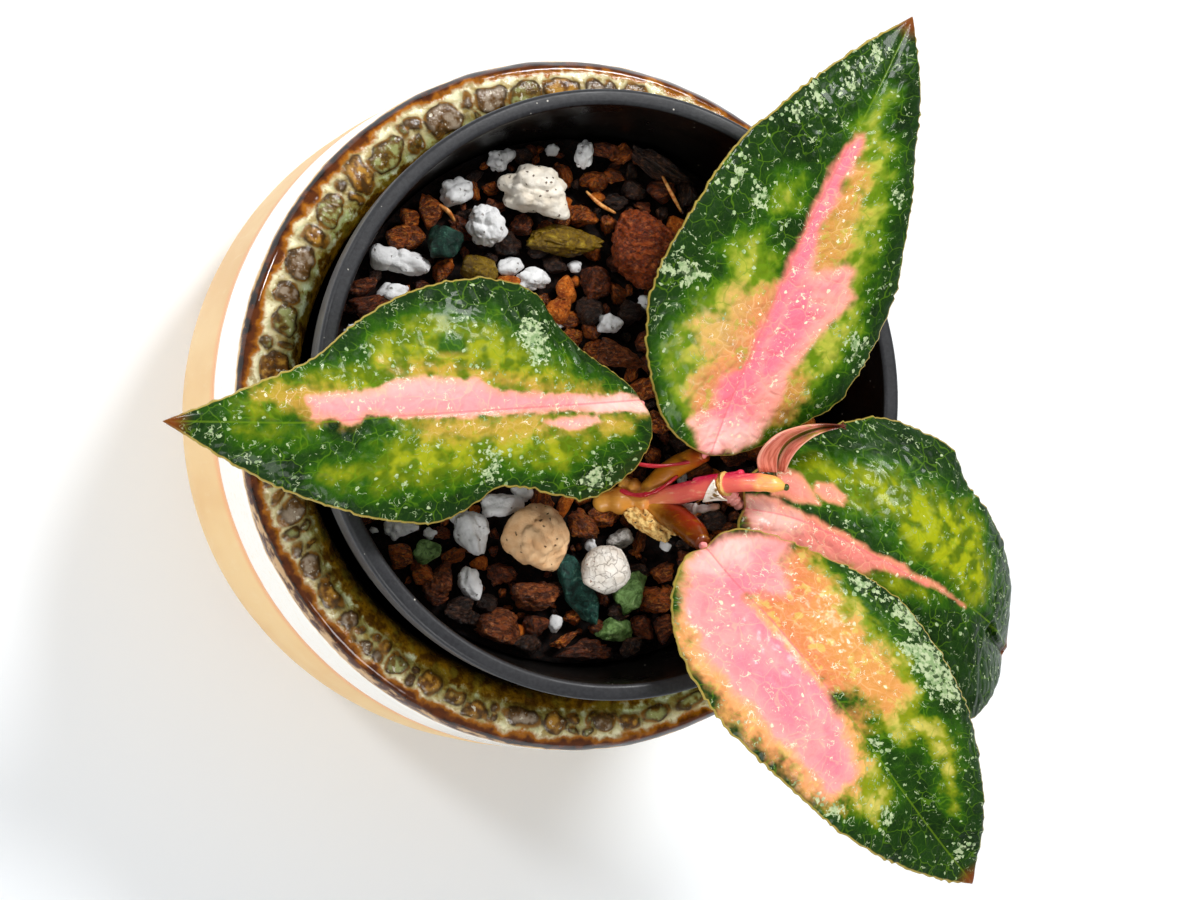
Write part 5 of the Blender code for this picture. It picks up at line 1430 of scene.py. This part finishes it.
def leaf_finish(name, look):
    f = Finish(name + "_skin", roughness=0.34, coat=0.12, coat_roughness=0.08, specular=0.08)
    flow = f.vector_field("flow")
    margin, rib, along = f.field("margin"), f.field("rib"), f.field("along")
    broad = f.noise(0.12, 3, 0.6, vector=flow)
    mid = f.noise(0.34, 2, 0.5, vector=flow)
    fine = f.noise(1.3, 3, 0.6, vector=flow)
    other = f.noise(0.55, 3, 0.55, vector=f.shifted(flow, (31.0, 7.0, 3.0)))
    net_place = f.swirl(flow, 0.3, 1.3)
    island = f.cells(0.36, vector=net_place, output="Color")
    wobble = f.maths("ADD", f.maths("MULTIPLY", f.maths("SUBTRACT", mid, 0.5), 7.0),
                     f.maths("MULTIPLY", f.maths("SUBTRACT", fine, 0.5), 1.8))
    small = f.maths("MULTIPLY", wobble, 0.4)

    green = f.mix(f.step(broad, 0.35, 0.65), srgb((10, 36, 2)), srgb((22, 52, 6)))
    green = f.mix(f.both(f.step(island, 0.4, 0.6), 0.4), green, srgb((30, 66, 10)))
    # Greyer green within 3 mm of the edge: a painted sheen along the margins.
    green = f.mix(f.both(f.step(margin, 3.0, 0.6), 0.4), green, srgb((24, 50, 18)))
    lime_depth = f.maths("ADD", f.field("lime"), wobble)
    green = f.mix(f.step(lime_depth, -3.8, -0.4), green, srgb((42, 86, 0)))
    lime = f.mix(f.both(f.step(lime_depth, -0.4, 3.6), f.step(mid, 0.40, 0.58)), srgb(look["olive"]),
                 srgb(look["lime"]))
    colour = f.mix(f.step(lime_depth, -1.5, 0.9), green, lime)
    dark_depth = f.maths("ADD", f.field("dark"), small)
    colour = f.mix(f.step(dark_depth, -0.8, 0.8), colour, srgb((44, 86, 12)))
    upper = f.step(rib, -0.8, 0.8)
    warm = f.mix(upper, srgb(look["warm_low"]), srgb(look["warm_high"]))
    tan = f.mix(upper, srgb(look["tan_low"]), srgb(look["tan_high"]))
    warm = f.mix(f.both(f.step(f.field("pink"), -7.0, -0.5), 0.85), tan, warm)
    warm = f.mix(f.both(f.step(other, 0.52, 0.62), 0.4), warm, tan)
    warm = f.mix(f.both(f.step(other, 0.46, 0.36), 0.6), warm, srgb(look["lime"]))
    warm_depth = f.maths("ADD", f.field("warm"), wobble)
    colour = f.mix(f.both(f.step(warm_depth, -1.8, 1.8), look["heat"]), colour, warm)
    pink_depth = f.maths("ADD", f.field("pink"), f.maths("MULTIPLY", wobble, look["stray"]))
    near_rib = f.step(f.maths("ADD", f.maths("ABSOLUTE", rib), f.maths("MULTIPLY", broad, 6.0)), 7.5, 4.0)
    heat = f.both(f.step(broad, 0.38, 0.60), f.step(f.field("pink"), 0.5, 4.0))
    pink = f.mix(f.more(f.both(near_rib, 0.7), f.both(heat, 0.75)), srgb(look["pink"]), srgb(look["hot"]))
    pink = f.mix(f.both(f.step(pink_depth, 1.6, -0.4), 0.5), pink, warm)
    light_skin = f.step(pink_depth, -look["soft"], look["soft"])
    colour = f.mix(light_skin, colour, pink)
    pale = f.step(f.maths("ADD", f.field("pale"), f.maths("MULTIPLY", wobble, 0.6)), -2.2, 2.6)
    colour = f.mix(f.both(f.both(pale, 0.75), light_skin), colour, srgb((255, 214, 202)))
    light_skin = f.more(light_skin, f.step(warm_depth, 0.0, 1.6))

    net = f.cells(0.36, "DISTANCE_TO_EDGE", vector=net_place)
    net_line = f.both(f.step(net, 0.040, 0.012), f.step(f.noise(0.3, 2, vector=flow), 0.36, 0.56))
    net_fine = f.cells(0.9, "DISTANCE_TO_EDGE", vector=f.swirl(flow, 0.7, 0.8))
    fine_line = f.step(net_fine, 0.05, 0.01)
    colour = f.mix(f.both(net_line, f.maths("SUBTRACT", 0.42, f.both(light_skin, 0.16))), colour, f.mix(light_skin, srgb((96, 138, 18)), srgb((255, 212, 160))))
    colour = f.mix(f.both(fine_line, 0.10), colour, f.mix(light_skin, srgb((96, 138, 40)), srgb((255, 214, 180))))

    curl_place = f.swirl(flow, 0.6, 0.8)
    curl = f.noise(0.6, 1.2, 0.5, vector=curl_place)
    curl_two = f.noise(0.85, 1.2, 0.5, vector=f.shifted(curl_place, (31.0, 7.0, 3.0)))
    curl_line = f.step(f.maths("ABSOLUTE", f.maths("SUBTRACT", curl, 0.5)), 0.017, 0.008)
    curl_more = f.step(f.maths("ABSOLUTE", f.maths("SUBTRACT", curl_two, 0.52)), 0.017, 0.008)
    breaks = f.step(f.noise(0.7, 2, vector=f.shifted(flow, (5.0, 9.0, 1.0))), 0.57, 0.61)
    curls = f.both(f.more(curl_line, curl_more), breaks)
    silver = f.field("silver")
    seat = f.swirl(f.swirl(flow, 0.9, 0.45), 2.2, 0.22)
    luck = f.cells(0.75, vector=seat, output="Color")
    crowd = f.maths("SUBTRACT", f.noise(0.15, 2, vector=f.shifted(flow, (2.0, 33.0, 6.0))), 0.5)
    luck = f.maths("ADD", luck, f.maths("MULTIPLY", crowd, 2.4))
    luck = f.maths("SUBTRACT", luck, f.both(light_skin, 0.10))
    luck = f.maths("ADD", luck, f.both(f.step(silver, -4.5, -0.5), 0.6))
    spot = f.maths("SUBTRACT", f.cells(0.75, vector=seat), f.maths("ADD", 0.08, f.both(luck, 0.13)))
    spots = f.both(f.step(spot, 0.04, 0.0), f.step(luck, 0.76, 0.79))
    patch_edge = f.maths("ADD", silver, f.maths("MULTIPLY", f.maths("SUBTRACT", other, 0.5), 6.0))
    patch_edge = f.maths("ADD", patch_edge, f.maths("MULTIPLY", f.maths("SUBTRACT", fine, 0.5), 6.0))
    holes = f.step(f.noise(1.0, 2, vector=f.shifted(flow, (15.0, 3.0, 8.0))), 0.42, 0.47)
    patches = f.both(f.step(patch_edge, -0.05, 0.2), f.maths("ADD", 0.15, f.both(holes, 0.72)))
    marks = f.more(f.more(f.both(curls, 0.8), f.both(spots, 0.92)), patches)
    tint = f.mix(f.step(fine, 0.4, 0.6), srgb((140, 166, 114)), srgb((190, 204, 160)))
    mark_colour = f.mix(light_skin, tint, srgb((255, 234, 200)))
    colour = f.mix(marks, colour, mark_colour)

    rib_line = f.step(f.maths("ABSOLUTE", rib), 0.22, 0.08)
    colour = f.mix(f.both(rib_line, 0.5), colour, f.mix(light_skin, srgb((104, 136, 16)), srgb((240, 104, 116))))
    colour = f.mix(f.both(f.step(margin, 0.34, 0.18), 0.85), colour, srgb((184, 160, 76)))
    colour = f.mix(f.both(f.step(along, 0.935, 0.985), 0.9), colour, srgb((122, 58, 16)))
    under = f.step(f.field("under"), 0.4, 0.6)
    back = f.mix(f.step(broad, 0.4, 0.6), srgb((104, 132, 56)), srgb((130, 152, 78)))
    back = f.mix(f.both(f.step(f.field("pink"), -1.0, 1.0), 0.7), back, srgb((224, 134, 122)))
    back = f.mix(f.both(fine_line, 0.3), back, srgb((170, 184, 120)))
    colour = f.mix(under, colour, back)
    f.rough(f.maths("ADD", 0.30, f.maths("MULTIPLY", fine, 0.2)))
    f.bump(f.step(net, 0.0, 0.34), 0.16, 0.8)
    f.bump(f.step(net_fine, 0.0, 0.3), 0.04, 0.5)
    f.bump(marks, 0.05, 0.6)
    return f.colour(colour)


def leaf_mesh(shape, seed, rows, cells, thickness, pucker, tooth, name):
    """A leaf as a closed skin: points, faces and the fields that its finish reads."""
    shares = np.linspace(0.0025, 0.9985, rows)
    inner = np.linspace(-1, 1, cells)
    places = np.sign(inner) * (1 - (1 - np.abs(inner)) ** 1.25)
    bite = teeth(shape, shares, seed) * tooth
    top, width = leaf_points(shape, shares, places, bite)
    top[..., 2] += fold_drop(name, top[..., :2])
    spine = smooth_path(shape["midrib"], shares)
    run = np.concatenate(([0.0], np.cumsum(np.linalg.norm(np.diff(spine, axis=0), axis=1))))
    across = places * width
    sheared = np.stack([run[:, None] - 0.55 * np.abs(across), across, np.full(across.shape, seed * 37.0)], axis=-1)
    flow = sheared + np.abs(across)[..., None] * (0.55, 0, 0)
    rise = np.sqrt(1 - np.abs(places) ** 14) * np.ones((rows, 1))
    ends = np.sqrt(np.clip(np.minimum(shares / 0.01, (1 - shares) / 0.02), 0.05, 1))[:, None]
    body = thickness / 2 * rise * ends
    fold = np.sin(sheared[..., 0] * math.pi / 7.5 + 1.2 * wavy(flow * 0.12, seed))
    quilt = pucker * (1.1 * np.abs(fold) ** 0.8 - 0.6) + pucker * 1.3 * wavy(flow * (0.24, 0.2, 1), seed + 2, 2)
    blister, rim, _ = nearest(flow * (0.38, 0.38, 1), seed + 3)
    quilt = quilt + pucker * 1.1 * (smoothstep(0.0, 0.45, rim - blister) - 0.6)
    calm = smoothstep(0.0, 0.12, 1 - np.abs(places)) * smoothstep(0.0, 3.0, np.abs(across))
    quilt = quilt * (0.25 + 0.75 * calm) * smoothstep(1.0, 6.0, width)
    groove = -0.6 * pucker * np.exp(-(across / 0.5) ** 2) * smoothstep(1.0, 5.0, width)
    swell = 0.75 * np.exp(-(across / 0.9) ** 2) * (1 - shares)[:, None]
    upper = top.copy()
    upper[..., 2] += body + quilt + groove
    coarse = np.unique(np.concatenate((np.arange(0, cells, 5), [cells - 1, cells // 2])))
    lower = top[:, coarse].copy()
    lower[..., 2] += (-body + quilt - swell)[:, coarse]
    index = np.arange(rows * cells).reshape(rows, cells)
    under = np.zeros((rows, len(coarse)), int)
    under[:, 1:-1] = np.arange(rows * (len(coarse) - 2)).reshape(rows, -1) + rows * cells
    under[:, 0], under[:, -1] = index[:, 0], index[:, -1]
    edges = [0, cells - 1]
    upper[:, edges, 2] = top[:, edges, 2] + quilt[:, edges]
    verts = np.concatenate((upper.reshape(-1, 3), lower[:, 1:-1].reshape(-1, 3)))
    faces = np.stack([index[:-1, :-1], index[:-1, 1:], index[1:, 1:], index[1:, :-1]], axis=-1).reshape(-1, 4).tolist()
    faces += np.stack([under[:-1, :-1], under[1:, :-1], under[1:, 1:], under[:-1, 1:]], axis=-1).reshape(-1, 4).tolist()
    faces.append(index[0, ::-1].tolist() + under[0, 1:-1].tolist())
    faces.append(index[-1].tolist() + under[-1, 1:-1][::-1].tolist())

    def both_sides(values):
        upper_part = values.reshape(rows * cells, -1)
        lower_part = values[:, coarse[1:-1]].reshape(rows * (len(coarse) - 2), -1)
        return np.concatenate((upper_part, lower_part)).squeeze()

    margin = np.minimum((1 - np.abs(places)) * width, np.minimum(run, run[-1] - run)[:, None] + 0.35)
    fields = {
        "flow": both_sides(flow), "margin": both_sides(margin), "rib": both_sides(across),
        "along": both_sides(np.repeat(shares[:, None], cells, axis=1)),
        "under": np.concatenate((np.zeros(rows * cells), np.ones(rows * (len(coarse) - 2)))),
    }
    return verts, faces, fields


FOLDS = {
    "leaf_right": ((66.6, -37.4), (68.3, -39.6), (70.0, -40.8), (71.1, -41.2), (74.0, -42.6), (74.0, -49.2),
                   (70.2, -54.5), (65.5, -56.6), (64.0, -50.8), (63.5, -44.0), (64.7, -38.9)),
}

FOLD_LINE = ((64.0, -35.0), (66.6, -37.4), (68.3, -39.6), (70.0, -40.8), (74.0, -41.8))

def fold_drop(name, plan):
    """How far a folded lobe of a leaf lies below the rest, in mm: a step along the fold, fading away from it."""
    if name not in FOLDS:
        return 0.0
    points = plan.reshape(-1, 2)
    inside = inside_depth(points, [FOLDS[name]])
    line = np.array(smooth_path([(x, y, 0.0) for x, y in FOLD_LINE], np.linspace(0, 1, 40)))[:, :2]
    gap = np.linalg.norm(points[:, None] - line[None], axis=-1).min(axis=1)
    drop = 1.7 * smoothstep(-0.1, 0.6, inside) * np.exp(-gap / 5.0)
    ridge = 0.5 * np.exp(-((inside + 0.5) / 0.5) ** 2) * np.exp(-(gap / 1.5) ** 2)
    return (ridge - drop).reshape(plan.shape[:-1])



def leaves():
    for seed, (name, shape) in enumerate(LEAVES.items()):
        if name == "leaf_young":
            continue
        verts, faces, fields = leaf_mesh(shape, seed + 1, 250, 131, 1.2, 0.13, 1.5, name)
        for zone in ("pink", "warm", "lime", "dark", "silver", "pale"):
            fields[zone] = inside_depth(verts[:, :2], ZONES[name][zone])
        add_piece(name + "_blade", verts + POT_PLACE, faces, leaf_finish(name, PALETTE[name]), [name], fields)


FLAPS = (
    (((23.6, -12.7, 97.0), (22.7, -10.6, 98.5), (23.0, -8.6, 100.5), (24.7, -6.6, 102.3), (27.4, -5.5, 103.3),
      (30.9, -4.9, 103.8), (36.3, -5.0, 103.4)),
     ((26.9, -12.7, 96.6), (26.3, -9.9, 98.6), (26.9, -7.8, 100.6), (28.6, -6.5, 102.0), (30.3, -5.8, 103.0),
      (32.4, -5.4, 103.4), (36.3, -5.2, 103.4)), 0.9),
    (((27.0, -12.3, 96.3), (27.0, -9.9, 97.8), (27.9, -8.0, 99.3), (29.5, -6.8, 100.9), (30.9, -6.1, 102.2),
      (32.4, -5.6, 102.8), (36.3, -5.1, 103.3)),
     ((28.0, -12.7, 97.4), (28.3, -10.5, 99.4), (29.1, -8.7, 101.3), (30.8, -7.1, 102.8), (32.7, -6.2, 103.6),
      (34.3, -5.8, 103.7), (36.3, -5.2, 103.5)), 0.5),
)

def young_leaf():
    f = Finish("leaf_young_skin", roughness=0.35, coat=0.15)
    flow, hollow = f.vector_field("flow"), f.field("hollow")
    lines = f.noise(0.9, 4, 0.6, vector=f.scaled(flow, (0.3, 2.0, 1.0)))
    patch = f.noise(0.5, 3, vector=flow)
    base = f.mix(f.step(lines, 0.40, 0.62), srgb((226, 134, 114)), srgb((184, 88, 66)))
    base = f.mix(f.both(f.step(f.field("along"), 0.36, 0.62), f.step(patch, 0.42, 0.58)), base, srgb((150, 122, 44)))
    inner = f.mix(f.step(lines, 0.42, 0.6), srgb((74, 72, 14)), srgb((134, 120, 40)))
    inner = f.mix(f.both(f.step(patch, 0.5, 0.6), 0.6), inner, srgb((170, 80, 50)))
    base = f.mix(f.step(hollow, 0.4, 0.6), base, inner)
    edge = f.both(f.step(f.field("margin"), 0.42, 0.16), f.step(f.field("along"), 0.78, 0.62))
    base = f.mix(f.both(edge, 0.8), base, srgb((248, 184, 156)))
    base = f.mix(f.step(f.field("along"), 0.66, 0.80), base, srgb((98, 36, 12)))
    f.bump(lines, 0.12, 0.6)
    look = f.colour(base)
    rows, cells = 90, 25
    shares, across = np.linspace(0, 1, rows), np.linspace(0, 1, cells)
    verts, faces, flows, alongs, margins, hollows, count = [], [], [], [], [], [], 0
    gap = (FLAPS[0][1], FLAPS[1][0], -0.35)
    for near, far, height in FLAPS + (gap,):
        a, b = smooth_path(near, shares), smooth_path(far, shares)
        if height < 0:
            reach = 0.9 * (a - b) / np.maximum(np.linalg.norm(a - b, axis=1), 1e-6)[:, None]
            a, b = a + reach, b - reach
        arch = np.sin(across * math.pi) ** 0.7
        width = np.linalg.norm(b - a, axis=1)
        skin = a[:, None] + (b - a)[:, None] * across[None, :, None]
        skin[..., 2] += height * arch * np.minimum(width / 2.5, 1)[:, None] - (0.3 if height < 0 else 0)
        half = np.array((0, 0, 0.22))
        verts += [(skin + half).reshape(-1, 3), (skin - half).reshape(-1, 3)]
        index = np.arange(rows * cells).reshape(rows, cells)
        quads = np.stack([index[:-1, :-1], index[:-1, 1:], index[1:, 1:], index[1:, :-1]], axis=-1).reshape(-1, 4)
        border = index[0].tolist() + index[1:, -1].tolist() + index[-1, -2::-1].tolist() + index[-2:0:-1, 0].tolist()
        total = rows * cells
        faces += (quads[:, ::-1] + count).tolist() + (quads + count + total).tolist()
        faces += [(a1 + count, b1 + count, b1 + total + count, a1 + total + count)
                  for a1, b1 in zip(border, border[1:] + border[:1])]
        count += 2 * total
        place = np.stack([np.repeat(shares[:, None] * 16, cells, axis=1), across[None, :] * width[:, None],
                          np.full((rows, cells), height * 9)], axis=-1).reshape(-1, 3)
        edge = (np.minimum(across, 1 - across)[None, :] * width[:, None]).ravel() + (9 if height < 0 else 0)
        flows += [place, place]
        alongs += [np.repeat(shares, cells)] * 2
        margins += [edge, edge]
        hollows += [np.full(2 * total, 1.0 if height < 0 else 0.0)]
    add_piece("leaf_young_blade", np.concatenate(verts) + POT_PLACE, faces, look, ["leaf_young"],
              {"flow": np.concatenate(flows), "along": np.concatenate(alongs), "margin": np.concatenate(margins),
               "hollow": np.concatenate(hollows)})


# ---------------------------------------------------------------- floor, light and camera
def stage():
    f = Finish("floor_white", roughness=0.8, specular=0.2)
    base = f.mix(f.noise(0.02, 2), (0.90, 0.94, 0.98), (0.91, 0.95, 0.99))
    floor = bpy.data.meshes.new("floor")
    floor.from_pydata([(-3, -3, 0), (3, -3, 0), (3, 3, 0), (-3, 3, 0)], [], [(0, 1, 2, 3)])
    floor.materials.append(f.colour(base))
    made = bpy.data.objects.new("floor", floor)
    bpy.context.scene.collection.objects.link(made)
    made.location.z = -0.0002


def area_light(name, place, aim, size, power):
    data = bpy.data.lights.new(name, "AREA")
    data.shape = "DISK"
    data.size = size
    data.energy = power
    made = bpy.data.objects.new(name, data)
    bpy.context.scene.collection.objects.link(made)
    made.location = place
    made.rotation_euler = (Vector(aim) - Vector(place)).to_track_quat("-Z", "Y").to_euler()


def lights():
    area_light("key", (0.38, 0.62, 1.05), (0, 0, 0.07), 0.36, 12.0)
    area_light("fill_up", (-0.8, 0.5, 0.75), (0, 0, 0.07), 0.16, 3.6)
    area_light("fill_down", (-0.45, -0.8, 0.85), (0, 0, 0.07), 0.45, 5.5)
    world = bpy.data.worlds.new("studio")
    world.use_nodes = True
    world.node_tree.nodes["Background"].inputs["Color"].default_value = (1, 1, 1, 1)
    world.node_tree.nodes["Background"].inputs["Strength"].default_value = 0.40
    bpy.context.scene.world = world


def camera():
    data = bpy.data.cameras.new("photo_view")
    data.lens = 85.0
    data.sensor_width = 36.0
    data.clip_start = 0.01
    made = bpy.data.objects.new("photo_view", data)
    bpy.context.scene.collection.objects.link(made)
    right, up = Vector((0.9483, 0.0, 0.3173)), Vector((-0.0143, 0.999, 0.0427))
    back = right.cross(up).normalized()
    up = back.cross(right).normalized()
    turn = Matrix((right, up, back)).transposed().to_4x4()
    made.matrix_world = Matrix.Translation(Vector((-0.1498, -0.0297, 0.5299))) @ turn
    bpy.context.scene.camera = made
    bpy.context.scene.view_settings.view_transform = "Standard"


camera()
ceramic_pot()
growing_pot()
mix_bed()
mix_chips()
straws()
loose_grains()
stems()
bract()
leaves()
young_leaf()
stage()
lights()
